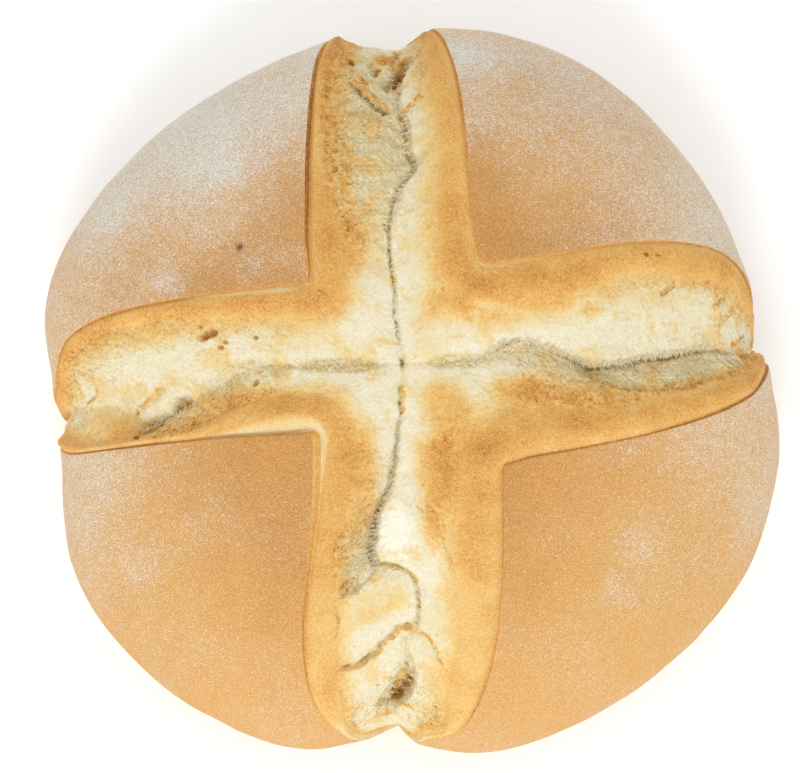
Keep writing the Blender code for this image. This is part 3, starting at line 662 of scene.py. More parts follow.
def beside_line(p, q, line):
    """Distance to the right of a bent line, minus to its left, and the share of its length beside."""
    start, leg = line[:-1], np.diff(line, axis=0)
    to_p, to_q = p[..., None] - start[:, 0], q[..., None] - start[:, 1]
    along = np.clip((to_p * leg[:, 0] + to_q * leg[:, 1]) / (leg**2).sum(1), 0, 1)
    away = np.hypot(to_p - along * leg[:, 0], to_q - along * leg[:, 1])
    nearest = away.argmin(-1)[..., None]
    side = np.sign(leg[:, 1] * to_p - leg[:, 0] * to_q)
    signed = np.take_along_axis(away * side, nearest, -1)[..., 0]
    share = np.take_along_axis(along, nearest, -1)[..., 0]
    return signed, (nearest[..., 0] + share) / len(leg)


def tears(p, q):
    """Height, painted shade in the gap, and scorch of all tears at each point."""
    height, dark, scorch = np.zeros_like(p), np.zeros_like(p), np.zeros_like(p)
    where = flat(p, q)
    ragged = 0.55 * noise(where, 2.4, 95) + 0.35 * noise(where, 1.0, 97)
    patchy = np.clip(0.62 + 0.9 * noise(where, 1.9, 99) + 0.8 * noise(where, 0.8, 101), 0, 1.3)
    broken = np.clip(0.9 + 0.5 * noise(where, 3.0, 109), 0.4, 1.1)
    for line, drop, reach, gap, half_width, darkness, scorched, _ in TEARS:
        line = np.array(line, float)
        (low_p, low_q), (high_p, high_q) = line.min(0) - 9, line.max(0) + 9
        near = (p > low_p) & (p < high_p) & (q > low_q) & (q < high_q)
        if not near.any():
            continue
        right, share = beside_line(p[near], q[near], line)
        right = right + ragged[near] * min(1.0, 0.4 + half_width)
        fade = smoothstep(0, 0.12, share) * smoothstep(1, 0.88, share)
        lift = bell(np.abs(right), reach, 1.5) * fade * (0.5 - smoothstep(-0.25, 0.3, right))
        in_gap = bell(np.abs(right - 0.8 * half_width), half_width, 2.5) * fade * patchy[near]
        height[near] += drop * lift - gap * in_gap
        # Painted shade: the colour across a tear's gap is darkened.
        dark[near] = np.maximum(dark[near], 0.8 * darkness * in_gap)
        edge = bell(right + 0.5, 0.75) * fade * np.clip(1.5 - patchy[near], 0.1, 1) * broken[near]
        scorch[near] = np.maximum(scorch[near], scorched * edge)
    return height, dark, scorch


def chance(cell_p, cell_q, which):
    """Repeatable random number from 0 to 1 for a lattice cell."""
    return (shuffle(cell_p, cell_q, which) * 37 % 256) / 256


def pores(p, q, cell, share, which):
    """Depth, 0 to 1, of small pits: one in a share of the cells of a lattice, jittered in its cell."""
    deepest = np.zeros_like(p)
    home_p, home_q = np.floor(p / cell).astype(int), np.floor(q / cell).astype(int)
    for step_p, step_q in np.ndindex(3, 3):
        at_p, at_q = home_p + step_p - 1, home_q + step_q - 1
        middle_p = (at_p + 0.15 + 0.7 * chance(at_p, at_q, which)) * cell
        middle_q = (at_q + 0.15 + 0.7 * chance(at_p, at_q, which + 1)) * cell
        radius = cell * (0.18 + 0.24 * chance(at_p, at_q, which + 2))
        there = chance(at_p, at_q, which + 3) < share
        away = np.hypot(p - middle_p, q - middle_q) / radius
        deepest = np.maximum(deepest, there * np.clip(1 - away**2, 0, 1))
    return deepest


print("tears, holes, rough places, hot places:", len(TEARS), len(HOLES), len(ROUGH), len(HEAT))

# %% [markdown]
# ## The cut faces
#
# The four cut faces are L-shaped strips, one round each quarter. A strip starts on the crust
# just outside the edge, goes over the edge and the ridge, and ends in the crack, where the
# next strip meets it at the same height. Its rows are closed sections: the top, then a few
# points underneath, inside the loaf. Running the grid along the edge keeps the edge sharp
# with far fewer points than an even grid would need.

# %% Cut faces: where the points lie
ROWS = 800
STRIP = 3.4                                   # width of crust that a cut face takes with it
ROUNDING = {"north_west": 4, "north_east": 13, "south_west": 9, "south_east": 6}
RAGGED = 0.35                                 # how far the crack wanders off its smooth line
# Columns across a strip: on the crust, closer together near the edge, down the wall, to the crack
SKIN_SHARES = np.linspace(1, 0, 10)[:-1] ** 1.3
WALL_SHARES = np.linspace(0, 1, 7)
INNER_SHARES = np.linspace(0, 1, 102)[1:]
ON_STRIP, ON_WALL = len(SKIN_SHARES), len(SKIN_SHARES) + len(WALL_SHARES)
TUCK = np.array([0.16, 0.07, 0.03] + [0] * 6)  # how far the strip's outer points lie under the crust
# Underneath: shares of the way to the crack, and heights over the body
UNDER_SHARES = np.array([1.0, 0.75, 0.4, 0.05])
UNDER_HEIGHTS = np.array([-14, -12, -9, -6])


def bent_line(ns_knots, we_knots, north, east, rounding=0, inset=0.0, ragged=0.0):
    """L-shaped line down one cut to the corner and out along the other, as ROWS points (p, q).

    Each leg is sampled evenly by length. inset moves the line that far to its own side, into
    the quarter, and ragged is how far noise pulls it about. A running mean rounds the corner.
    """
    corner_p, corner_q = meeting(ns_knots, we_knots)
    share = (1 - np.cos(np.pi * np.linspace(0, 1, 1600))) / 2
    tip_p, tip_q = (-TIP, TIP)[east], (-TIP, TIP)[north]
    p, q = corner_p + (tip_p - corner_p) * share, tip_q + (corner_q - tip_q) * share
    legs = []
    for leg in (np.stack([curve(ns_knots, q), q], -1), np.stack([p, curve(we_knots, p)], -1)):
        length = lengths_along(leg)
        even = np.linspace(0, length[-1], ROWS // 2 + 1)
        legs.append(np.stack([np.interp(even, length, leg[:, axis]) for axis in (0, 1)], -1))
    line = running_mean(np.concatenate([legs[0], legs[1][1:]]), rounding)
    at = flat(line[:, 0], line[:, 1])
    pull = [noise(at, 2.6, shift) + 0.6 * noise(at, 1.1, shift + 2) for shift in (103, 107)]
    line = line + ragged * np.stack(pull, -1)
    if inset:
        forward = running_mean(np.gradient(line, axis=0), 4)
        forward /= np.linalg.norm(forward, axis=1, keepdims=True)
        turned = np.stack([forward[:, 1], -forward[:, 0]], -1) * (1 if north != east else -1)
        line = running_mean(line + inset * turned, 6)
    return line


def nearest_on(line, p, q):
    """For each point, the distance to a line and the place of the nearest of its points."""
    distance, place = np.empty(p.shape), np.empty(p.shape, int)
    for row in range(0, len(p), 100):
        block = slice(row, row + 100)
        low, high = max(0, row - 160), row + 260
        away = np.hypot(p[block][..., None] - line[low:high, 0], q[block][..., None] - line[low:high, 1])
        place[block] = away.argmin(-1) + low
        distance[block] = away.min(-1)
    return distance, place


def legs_of(quarter):
    """The names of the two cuts beside a quarter, each with the axis that runs out along it."""
    north, east = QUARTERS[quarter]
    return (("south", "north")[north], 1), (("west", "east")[east], 0)


def side_values(quarter, line):
    """The tables of one quarter's two sides along its strip, blended at the corner, by name."""
    mix = smoothstep(-0.05, 0.05, np.linspace(-1, 1, len(line)))
    values = {}
    for column, name in enumerate(VALUES, 1):
        ns, we = (curve(SIDES[quarter, cut], np.abs(line[:, axis]), column) for cut, axis in legs_of(quarter))
        values[name] = ns * (1 - mix) + we * mix
    return values


def crack_values(quarter, line, column):
    """A column of the cracks' tables along the two legs of a strip's crack line."""
    ns, we = (curve(CRACKS[cut], np.abs(line[:, axis]), column) for cut, axis in legs_of(quarter))
    return np.where(np.arange(len(line)) < len(line) // 2, ns, we)


def lay_out(quarter):
    """Top of a strip: its points in tape coordinates and what the tables say about each."""
    edge, back = (bent_line(*EDGES[quarter], *QUARTERS[quarter], ROUNDING[quarter], inset)
                  for inset in (0, STRIP))
    crack = bent_line(NS_CRACK, WE_CRACK, *QUARTERS[quarter], ragged=RAGGED)
    width = np.linalg.norm(crack - edge, axis=1)[:, None]
    across = (crack - edge) / np.maximum(width, 1e-6)
    along_edge = side_values(quarter, edge)
    wall = along_edge["wall"][:, None] * np.minimum(1, width / 6)
    into = np.concatenate([-STRIP * SKIN_SHARES * np.ones_like(width), wall * WALL_SHARES,
                           wall + (width - wall) * INNER_SHARES], 1)
    top = edge[:, None] + across[:, None] * into[..., None]
    top[:, :ON_STRIP] = edge[:, None] + (back - edge)[:, None] * SKIN_SHARES[:, None]
    p, q = top[..., 0], top[..., 1]
    from_edge, at_edge = nearest_on(edge, p, q)
    to_crack, at_crack = nearest_on(crack, p, q)
    side = SimpleNamespace(**{name: values[at_edge] for name, values in along_edge.items()})
    return SimpleNamespace(
        p=p, q=q, top=top, where=flat(p, q), edge=edge, back=back, across=across, width=width, into=into,
        side=side, past=np.maximum(from_edge - side.wall, 0), to_crack=to_crack,
        wall_toast_and_shade=along_edge["scorch"][:, None], ends=np.minimum(1, width / 7),
        floor=crack_values(quarter, crack, 1)[at_crack], floor_torn=crack_values(quarter, crack, 2)[at_crack])


ACROSS = ON_WALL + len(INNER_SHARES) + len(UNDER_SHARES) + 1
print("points round a strip:", ACROSS, "and along it:", ROWS + 1)

# %% [markdown]
# ### How the dough swelled
#
# Past the wall the ridge rises and falls as a stretched half wave of a sine. Behind its crest
# the crumb slopes to the shoulder, the fuller the later, and within the roll of the crack it
# goes over smoothly to the height of the crack's floor.

# %% Cut faces: the swelling


def swell(face):
    """Heights of the ridge, the slope and the floor, and how porous and how torn each point is."""
    side, past = face.side, face.past
    face.wide = 0.22 * noise(face.where, 15, 27) + 0.14 * noise(face.where, 6, 29)
    face.share = np.clip(past / side.ridge * (1 - 0.4 * face.wide), 0, 1)
    bump = np.sin(np.pi * face.share**0.75) * (1 + 0.6 * face.wide)
    crest = 0.5 * side.ridge
    fall = np.clip((past - crest) / np.maximum(past - crest + face.to_crack, 0.5), 0, 1)
    foot = CURL - side.step
    slope = foot + (side.shoulder - foot) * fall**side.fullness
    rolled = smoothstep(1, 0, face.to_crack / side.roll)
    face.height = (slope + side.rise * bump) * (1 - rolled) + face.floor * rolled
    face.beyond = (past - side.ridge) / side.band + face.wide
    face.torn = side.torn * smoothstep(-0.3, 0.8, face.beyond) * (1 - rolled) + face.floor_torn * rolled
    face.band = smoothstep(-0.5, 0.0, face.beyond) * smoothstep(1.5, 0.7, face.beyond)
    face.band *= smoothstep(0.12, 0.6, side.torn)
    face.seen = seen_at(face.p, face.q, face.height)


# %% [markdown]
# ### How the crumb tore
#
# Torn crumb is lumpy and fibrous. The fibres run from the ridge to the crack, so their noise
# is squeezed along the cut. Where it is porous, small round pits are pressed in, and where it
# is torn most they crowd into a lace. Then come the tears and holes of the lists, and the
# join with the crust: the wall, and the strip that lies on the crust.

# %% Cut faces: the tearing


def fray(face):
    """Rough places, lumps, fibres, pits and lace, taken off or put on the heights."""
    where, past = face.where, face.past
    lowered, face.dim = np.zeros_like(past), np.zeros_like(past)
    # The rough places also get painted shade, which the finish lays darkest in their lace and hollows.
    for away, (amount, deep, darkness) in ovals(*face.seen, ROUGH):
        near = smoothstep(1.15, 0.55, away + 0.5 * face.wide)
        face.torn = np.maximum(face.torn, amount * near)
        lowered = np.maximum(lowered, deep * near)
        face.dim = np.maximum(face.dim, darkness * near)
    lumps = 0.40 * noise(where, 9, 31) + (0.2 + 0.5 * face.torn) * noise(where, 3.6, 37)
    along = lengths_along(face.edge)[:, None] + 0.45 * face.into
    hairs = np.abs(noise(flat(along / 0.75, face.into / 2.6), 1.0, 45)) * smoothstep(0, 1.5, face.to_crack)
    face.fibre = 0.9 * np.abs(noise(where, 2.0, 41)) + 0.35 * (1 - 2 * hairs) + 0.45 * noise(where, 0.9, 43)
    face.pit = np.maximum(pores(face.p, face.q, 1.5, 0.42, 5), 0.8 * pores(face.p, face.q, 0.95, 0.42, 11))
    face.pit *= np.clip(face.band + 0.3 * face.torn, 0, 1) * smoothstep(-0.35, 0.25, noise(where, 3.5, 63))
    face.lace = np.maximum(pores(face.p, face.q, 1.3, 0.6, 17), pores(face.p, face.q, 0.8, 0.5, 23))
    face.lace *= smoothstep(0.5, 1.0, face.torn)
    fibrous = (0.14 + 0.56 * face.torn) * (face.fibre - 0.5) * smoothstep(0, 2, past)
    face.height += lumps * smoothstep(0, 5, past) + fibrous - lowered - 0.4 * face.pit - 0.3 * face.lace


def tear_open(face):
    """Tears and holes, and the joins with the crust along the edge and at the tips."""
    hole, face.dark = np.zeros_like(face.p), np.zeros_like(face.p)
    rim = 0.4 * noise(face.where, 1.5, 91)
    # A hole's darkness is partly browning and partly painted shade in it.
    for away, (deep, darkness) in ovals(*face.seen, HOLES):
        inside = smoothstep(1.2, 0.45, away + rim)
        hole, face.dark = np.maximum(hole, deep * inside), np.maximum(face.dark, darkness * inside)
    tear, face.tear_dark, face.scorch = tears(*face.seen)
    skin = skin_relief(on_body(face.p, face.q), np.minimum(inside_cut(face.p, face.q), 0))
    height = (face.height + tear - hole) * face.ends + (1 - face.ends) * (skin - 0.6)
    wall_top, wall_foot = skin[:, ON_STRIP:ON_STRIP + 1], height[:, ON_WALL:ON_WALL + 1]
    height[:, ON_STRIP:ON_WALL] = wall_top + (wall_foot - wall_top) * WALL_SHARES**1.3
    height[:, :ON_STRIP] = skin[:, :ON_STRIP] + 0.05 - TUCK
    face.height = height


# %% [markdown]
# ### How it baked
#
# What stands out gets most heat: the crest of the ridge is golden, the wall and the scorched
# edges are brown, and the torn crumb, which opened late, stayed cream. The wall is also darker
# where it faces away from the lamp, which is painted shade. The finish needs to know three
# things of each point: how toasted it is, how torn, and how deep in shade, a shade that is
# painted into its colour.

# %% Cut faces: the baking, and the meshes


def bake(face):
    """Values for the finishes, by name: toast, torn, deep (painted shade), flour and brown."""
    side, specks = face.side, noise(face.where, 1.5, 53)
    golden = smoothstep(1.35, -0.25, face.beyond + 0.3 * specks)
    ridge = 0.44 + (side.crest - 0.44) * np.sin(np.pi * face.share) + 0.09 * noise(face.where, 8, 57)
    pale = smoothstep(1.3, 0.5, face.past / np.maximum(side.pale, 0.2)) * smoothstep(0.1, 0.8, side.pale)
    ridge *= 1 - 0.5 * pale
    crumb = 0.08 + 0.16 * smoothstep(0.0, 0.6, noise(face.where, 8, 61) + 0.5 * specks)
    toast = ridge * golden + crumb * (1 - golden) + face.band * (0.08 + 0.22 * specks)
    toast += 0.3 * face.pit * golden + 0.05 * face.torn * (1 - golden)
    for away, (amount,) in ovals(*face.seen, HEAT):
        toast += amount * smoothstep(1.3, 0.3, away + 0.5 * face.wide + 0.25 * specks)
    # Tear gaps are toasted a little more and holes brown with their darkness, partly browning and partly
    # painted shade.
    toast = np.maximum.reduce([toast + 0.2 * face.tear_dark, face.scorch, 1.1 * face.dark])
    # The wall's colour: toasted crust edge with painted shade, darker on walls that face away from the lamp.
    toast[:, ON_STRIP:ON_WALL] = face.wall_toast_and_shade + 0.06 * specks[:, ON_STRIP:ON_WALL]
    # Painted shade: cavities between fibres, lace, pits, holes, tear gaps and the rough places get darker
    # colour through deep.
    cavity = face.torn * np.clip(0.62 - face.fibre, 0, 1) * smoothstep(0, 2, face.past)
    shade = face.dim * (0.4 + 1.6 * face.lace + cavity)
    deep = np.maximum.reduce([face.tear_dark, 0.4 * face.dark, 0.3 * face.pit, shade])
    deep += 0.05 * cavity + 0.04 * face.lace
    flour, brown = flour_and_browning(face.p, face.q)
    return {"toast": toast, "torn": face.torn, "deep": deep, "flour": flour, "brown": brown}


def cut_face(quarter):
    """One strip: the steps above, then the points underneath and the closed mesh.

    Its heights, toast and how frayed it is are kept too, for what grows on it.
    """
    face = lay_out(quarter)
    for step in (swell, fray, tear_open):
        step(face)
    values = bake(face)
    frayed = np.clip(1.1 * face.torn + 0.9 * face.band - 0.22, 0, 1)
    frayed *= smoothstep(0.45, 0.1, np.maximum(face.dark, face.tear_dark))
    measured = np.stack([face.p, face.q, face.height, values["toast"], frayed], -1)[:, ON_WALL:]

    under = face.edge[:, None] + face.across[:, None] * (face.width * UNDER_SHARES)[..., None]
    points = np.concatenate([face.top, under, face.back[:, None]], 1)
    lower = np.concatenate([UNDER_HEIGHTS * np.ones_like(face.width), -2 * np.ones_like(face.width)], 1)
    heights = np.concatenate([face.height, (lower + 2) * face.ends - 2.5], 1)[..., None]
    p, q = points[..., 0], points[..., 1]
    grid = on_body(p, q) + normals_at(p, q) * heights
    values = {name: np.concatenate([value, np.repeat(value[:, -1:], lower.shape[1], 1)], 1)
              for name, value in values.items()}
    north, east = QUARTERS[quarter]
    order = slice(None, None, -1 if north != east else 1)   # keeps the faces outwards
    on_crust = np.zeros(grid.shape[1])
    on_crust[:ON_STRIP] = on_crust[-1] = 1
    values = {name: value[order] for name, value in values.items()}
    return closed_mesh("cut_face_" + quarter, grid[order], values, on_crust), measured.reshape(-1, 5)


cut_faces, MEASURED = zip(*(cut_face(quarter) for quarter in QUARTERS))

# %% [markdown]
# ## The crust
#
# The crust is one closed skin over the whole body, a grid of rings from the top over the
# waist to the middle of the base. Under the cut faces it drops away, so that only they show.

# %% Crust
SECTORS, RINGS, BASE_RINGS = 640, 132, 12


def crust():
    """Closed grid of rings: distance over the dome by direction, then shrinking flat base rings."""
    distance = np.linspace(0.6, TO_BASE, RINGS)[:, None] * np.ones(SECTORS)
    direction = np.linspace(0, 2 * np.pi, SECTORS, endpoint=False)[None, :] * np.ones((RINGS, 1))
    p, q = distance * np.cos(direction), distance * np.sin(direction)
    depth_in = inside_cut(p, q)
    body = on_body(p, q)
    on_side = smoothstep(TO_BASE - 4, TO_BASE - 14, distance)
    drop = 2.0 * smoothstep(-1.9, -0.2, depth_in) + 13 * smoothstep(-0.2, 8, depth_in)
    drop *= smoothstep(TIP, TIP - 4, np.maximum(np.abs(p), np.abs(q)))
    height = (skin_relief(body, depth_in) - drop) * on_side
    grid = body + normals_at(p, q) * height[..., None]
    shrink = np.linspace(1, 0.02, BASE_RINGS + 1)[1:, None, None]
    grid = np.concatenate([grid, grid[-1:] * shrink * np.array([1, 1, 0])])
    grid[..., 2] = np.maximum(grid[..., 2], 0)
    flour, brown = flour_and_browning(p, q)
    on_base = np.ones((BASE_RINGS, 1))
    values = {"flour": np.concatenate([flour, flour[-1:] * 0.3 * on_base]),
              "brown": np.concatenate([brown, brown[-1:] + 0.5 * on_base])}
    return closed_mesh("crust", grid[:, ::-1], {name: value[:, ::-1] for name, value in values.items()})


crust_piece = crust()

# %% [markdown]
# ## Strands and flakes
#
# Where crumb tears, its cell walls are pulled out into hairs a tenth or two of a millimetre thick
# that hang over the edge of the tear, and into flat flakes about a millimetre long that stand up
# all over the torn face. They give it its frayed look. Each is a thin three-sided tube, round
# for a strand and flattened for a flake, and all of one kind are one piece. To stand on the
# face they need its height anywhere, so its points are averaged into the cells of a lattice.

# %% Strands and flakes: what lies under them
CELL, REACH = 0.5, 130                        # size of a cell, and how far the lattice reaches


def lattice(samples):
    """Means of the cut faces' values in each cell of a square lattice, holes filled from beside."""
    count = int(2 * REACH / CELL)
    at = np.clip(((samples[:, :2] + REACH) / CELL).astype(int), 0, count - 1) @ (count, 1)
    hits = np.bincount(at, minlength=count * count).reshape(count, count, 1).astype(float)
    total = np.stack([np.bincount(at, values, count * count) for values in samples[:, 2:].T], -1)
    total = total.reshape(count, count, -1)
    for _ in range(3):
        wider = [sum(np.roll(part, way, axis) for axis in (0, 1) for way in (-1, 1))
                 for part in (total, hits)]
        empty = hits[..., 0] == 0
        total[empty], hits[empty] = wider[0][empty], wider[1][empty]
    return total / np.maximum(hits, 1)


LATTICE = lattice(np.concatenate(MEASURED))
print("cells of the lattice:", LATTICE.shape[:2])


def face_at(p, q):
    """Height, toast and frayedness of the cut faces at a place, from the lattice."""
    at_p, at_q = (np.clip(((at + REACH) / CELL).astype(int), 0, len(LATTICE) - 1) for at in (p, q))
    return LATTICE[at_p, at_q]


def below(seen_p, seen_q):
    """The place where the face lies straight under a place on the plain body: seen_at turned round."""
    p, q = seen_p, seen_q
    for _ in range(3):
        now_p, now_q = seen_at(p, q, face_at(p, q)[..., 0])
        p, q = p + seen_p - now_p, q + seen_q - now_q
    return p, q


def slivers(name, roots, rings, flatness):
    """Closed three-sided tubes that leave the root level, bend and droop, as one object.

    A root is p, q, direction in radians, length, droop, half-width and toast.
    """
    p, q, direction, length, droop, half_width, toast = (column[:, None] for column in roots.T)
    share = np.linspace(0, 1, rings + 2)[None, :]
    bend = direction + random.normal(0, 0.4, p.shape) * share
    at_p, at_q = p + length * share * np.cos(bend), q + length * share * np.sin(bend)
    hanging = face_at(p, q)[..., 0] + 0.08 - droop * share**2 * length
    height = np.maximum(hanging, face_at(at_p, at_q)[..., 0] + 0.03)
    height += 0.15 * np.sin(np.pi * share) * random.random(p.shape)
    height[:, 0] -= 0.3
    normal = normals_at(at_p, at_q)
    middle = on_body(at_p, at_q) + normal * height[..., None]
    aside = np.cross(np.gradient(middle, axis=1), normal)
    aside /= np.linalg.norm(aside, axis=-1, keepdims=True)
    width = half_width * np.sin(np.pi * (0.12 + 0.8 * share)) ** 0.6
    around = np.radians([90, 210, 330])[:, None, None, None]
    ring = np.cos(around) * aside + np.sin(around) * flatness * normal
    tube = (middle + ring * width[..., None]).transpose(1, 2, 0, 3)[:, 1:-1]
    number, block = len(roots), rings * 3 + 2
    vertices = np.concatenate([tube.reshape(number, -1, 3), middle[:, [0, -1]]], 1).reshape(-1, 3)
    column = np.arange(3)
    beside = (column + 1) % 3
    quads = np.concatenate([np.stack([row + column, row + beside, row + 3 + beside, row + 3 + column], -1)
                            for row in range(0, 3 * (rings - 1), 3)])
    first = np.stack([beside, column, np.full(3, block - 2)], -1)
    last = np.stack([block - 5 + column, block - 5 + beside, np.full(3, block - 1)], -1)
    shift = (block * np.arange(number))[:, None, None]
    corners = np.concatenate([(part + shift).ravel() for part in (quads, first, last)])
    sizes = np.concatenate([np.full(number * len(quads), 4), np.full(number * 6, 3)])
    none = np.zeros(len(vertices))
    values = {"toast": np.repeat(toast, block), "torn": none, "deep": none}
    return new_piece(name, vertices, corners, sizes, values, smooth=False)


# %% [markdown]
# ### Torn strands
#
# The strands hang where the tears are, across them and mostly over their lower side. The rough
# places have shorter ones, which lie about in all directions.

# %% Torn strands


def strand_roots():
    """Roots along the tears and over the rough places."""
    roots = []
    for line, drop, _, _, half_width, _, _, hairs in TEARS:
        line = np.array(line)
        lengths = lengths_along(line)
        number = int(hairs * lengths[-1])
        at = random.uniform(0, lengths[-1], number)
        spot, ahead, behind = (np.stack([np.interp(at + step, lengths, line[:, axis]) for axis in (0, 1)], -1)
                               for step in (0, 0.5, -0.5))
        heading = np.arctan2(*(ahead - behind).T[::-1])
        across = np.where(random.random(number) < (0.15 if drop > 1.2 else 0.45), 1, -1)[:, None]
        side = across * np.stack([-np.sin(heading), np.cos(heading)], -1)
        spot = spot - side * random.uniform(0.1, 1.2, number)[:, None]
        direction = np.arctan2(side[:, 1], side[:, 0]) + random.normal(0, 0.45, number)
        length = random.uniform(0.9, 2.0 + 0.9 * half_width, number)
        roots.append(np.column_stack([spot, direction, length, np.full(number, 0.25 + 0.25 * drop)]))
    for at_p, at_q, half_length, half_width, turn, amount, _, _ in ROUGH:
        number = int(2 * half_length * half_width * max(amount - 0.4, 0))
        turn = np.radians(turn)
        turning = np.array([[np.cos(turn), np.sin(turn)], [-np.sin(turn), np.cos(turn)]])
        spot = (at_p, at_q) + random.normal(0, 0.5, (number, 2)) * (half_length, half_width) @ turning
        direction = turn + np.pi / 2 * random.choice([-1, 1], number) + random.normal(0, 0.6, number)
        length = random.uniform(0.6, 1.8, number)
        roots.append(np.column_stack([spot, direction, length, np.full(number, 0.1)]))
    roots = np.concatenate(roots)
    roots[:, 0], roots[:, 1] = below(roots[:, 0], roots[:, 1])
    half_width, shade = random.uniform(0.05, 0.1, len(roots)), random.uniform(0.0, 0.16, len(roots))
    return np.column_stack([roots, half_width, shade])


strands = slivers("torn_strands", strand_roots(), rings=4, flatness=1.0)

# %% [markdown]
# ### Crumb flakes
#
# The flakes are strewn over the torn crumb and the porous band beside the ridges. They point
# across the arm they lie on, as the dough was pulled apart that way, and swing slowly about.

# %% Crumb flakes
FLAKES = 9500


def flake_roots():
    """Roots strewn at random, kept where the crumb is torn."""
    p, q = random.uniform(-112, 112, (2, 40 * FLAKES))
    _, toast, frayed = face_at(p, q).T
    wanted = frayed * (inside_cut(p, q) > 2.5)
    kept = np.flatnonzero(random.random(len(p)) < wanted)[:FLAKES]
    p, q, toast = p[kept], q[kept], toast[kept]
    number = len(kept)
    across_ns, across_we = np.where(p < -5, 0.0, np.pi), np.where(q > 3, -np.pi / 2, np.pi / 2)
    across = np.where(np.abs(p) < np.abs(q), across_ns, across_we)
    direction = across + 0.9 * noise(flat(p, q), 12, 111) - 0.35 + random.normal(0, 0.4, number)
    length = 0.45 + 1.3 * random.random(number) ** 2
    half_width = random.uniform(0.06, 0.17, number)
    shade = toast * random.uniform(0.8, 1.25, number) + random.normal(0.02, 0.08, number)
    return np.column_stack([p, q, direction, length, np.full(number, 0.15), half_width, shade])


flakes = slivers("crumb_flakes", flake_roots(), rings=3, flatness=0.35)

# %% [markdown]
# ## Finishes
#
# A finish is a network of nodes. One helper adds a node with its settings and its links, so
# that a finish reads from top to bottom like a recipe. Colours are written as on screen and
# turned into the light amounts that the renderer needs.

# %% Finishes: helpers


def linear(colour):
    """Light amounts of an sRGB hex colour such as "d9a35f", with alpha 1."""
    screen = np.array([int(colour[place:place + 2], 16) for place in (0, 2, 4)]) / 255
    light = np.where(screen <= 0.04045, screen / 12.92, ((screen + 0.055) / 1.055) ** 2.4)
    return (*light.tolist(), 1.0)


def add(tree, kind, inputs=(), ramp=(), **settings):
    """Add a node, or go on with one that is there, and give it its settings, inputs and ramp.

    Inputs are sockets by name or number, each with a value, a node or an output to link to.
    """
    made = tree.nodes.new("ShaderNode" + kind) if isinstance(kind, str) else kind
    for name, value in settings.items():
        setattr(made, name, value)
    if ramp:
        while len(made.color_ramp.elements) < len(ramp):
            made.color_ramp.elements.new(1.0)
        for element, (place, colour) in zip(made.color_ramp.elements, ramp):
            element.position, element.color = place, linear(colour)
    for name, value in dict(inputs).items():
        socket = made.inputs[name] if isinstance(name, int) else next(
            one for one in made.inputs if one.name == name and one.enabled)
        if isinstance(value, bpy.types.Node):
            value = next(one for one in value.outputs if one.enabled)
        if isinstance(value, bpy.types.NodeSocket):
            tree.links.new(value, socket)
        else:
            socket.default_value = value
    return made


def new_finish(name):
    """Empty material and its node tree with only the output and the shader left."""
    finish = bpy.data.materials.new(name)
    finish.use_nodes = True
    return finish, finish.node_tree, finish.node_tree.nodes["Principled BSDF"]


def value_of(tree, name):
    """A value that the mesh holds at each of its points."""
    return add(tree, "Attribute", attribute_name=name).outputs["Fac"]


# %% [markdown]
# ### Floured crust
#
# Bread crust is a matte brown skin. The flour on it is a dust of grains a few hundredths of a
# millimetre wide, in clumps that show as fine pale speckle where it is thin and as a chalky
# film where it is thick. So the flour is laid on as noise with a threshold: the more flour
# there is at a point, the more of the speckle gets over it. Single grains would be too fine
# to see at this size, so the noise is drawn at the size of the clumps.

# %% Floured crust
crust_finish, tree, shader = new_finish("floured_bread_crust")
place = add(tree, "TexCoord").outputs["Object"]
flour, brown = value_of(tree, "flour"), value_of(tree, "brown")
# Clumps of 0.4 mm, mottling of 2 mm and clouds of 9 mm
clumps = add(tree, "TexNoise", {"Vector": place, "Scale": 2500, "Detail": 1.5, "Roughness": 0.6})
mottle = add(tree, "TexNoise", {"Vector": place, "Scale": 600, "Detail": 2})
clouds = add(tree, "TexNoise", {"Vector": place, "Scale": 110, "Detail": 3})
browned = add(tree, "Mix", {"Factor": 0.3, "A": brown, "B": clouds})
skin_colour = add(tree, "ValToRGB", {"Fac": browned}, ramp=(
    (0.0, "d6a765"), (0.25, "d5a15c"), (0.5, "d09852"), (0.75, "c38b4a"), (1.0, "b2783c")))
speckle = add(tree, "ValToRGB", {"Fac": clumps}, ramp=((0.3, "9c6a32"), (0.5, "d59f58"), (0.7, "f0cd90")))
speckled = add(tree, "Mix", {"Factor": 0.4, "A": skin_colour, "B": speckle}, data_type="RGBA")
lumpy = add(tree, "Mix", {"Factor": 0.3, "A": clumps, "B": mottle})
strong = add(tree, "MapRange", {"Value": lumpy, "From Min": 0.25, "From Max": 0.75})
film = add(tree, "Math", {0: flour, 1: 0.5}, operation="MULTIPLY")
filmed = add(tree, "Mix", {"Factor": film, "A": speckled, "B": linear("cac1ac")}, data_type="RGBA")
cover = add(tree, "Math", {0: flour, 1: strong}, operation="ADD")
covered = add(tree, "MapRange", {"Value": cover, "From Min": 0.78, "From Max": 1.5, "To Max": 0.85})
grains = add(tree, "ValToRGB", {"Fac": clumps}, ramp=((0.3, "b9b5a9"), (0.5, "d7d4ca"), (0.7, "f1f1ea")))
dusted = add(tree, "Mix", {"Factor": covered, "A": filmed, "B": grains}, data_type="RGBA")
burnt = add(tree, "MapRange", {"Value": brown, "From Min": 1.0, "From Max": 1.8, "To Max": 0.85})
spotted = add(tree, "Mix", {"Factor": burnt, "A": dusted, "B": linear("5c3c16")}, data_type="RGBA")
bump = add(tree, "Bump", {"Height": clumps, "Strength": 0.5, "Distance": 0.0003})
add(tree, shader, {"Base Color": spotted, "Normal": bump, "Roughness": 0.85, "Specular IOR Level": 0.25})
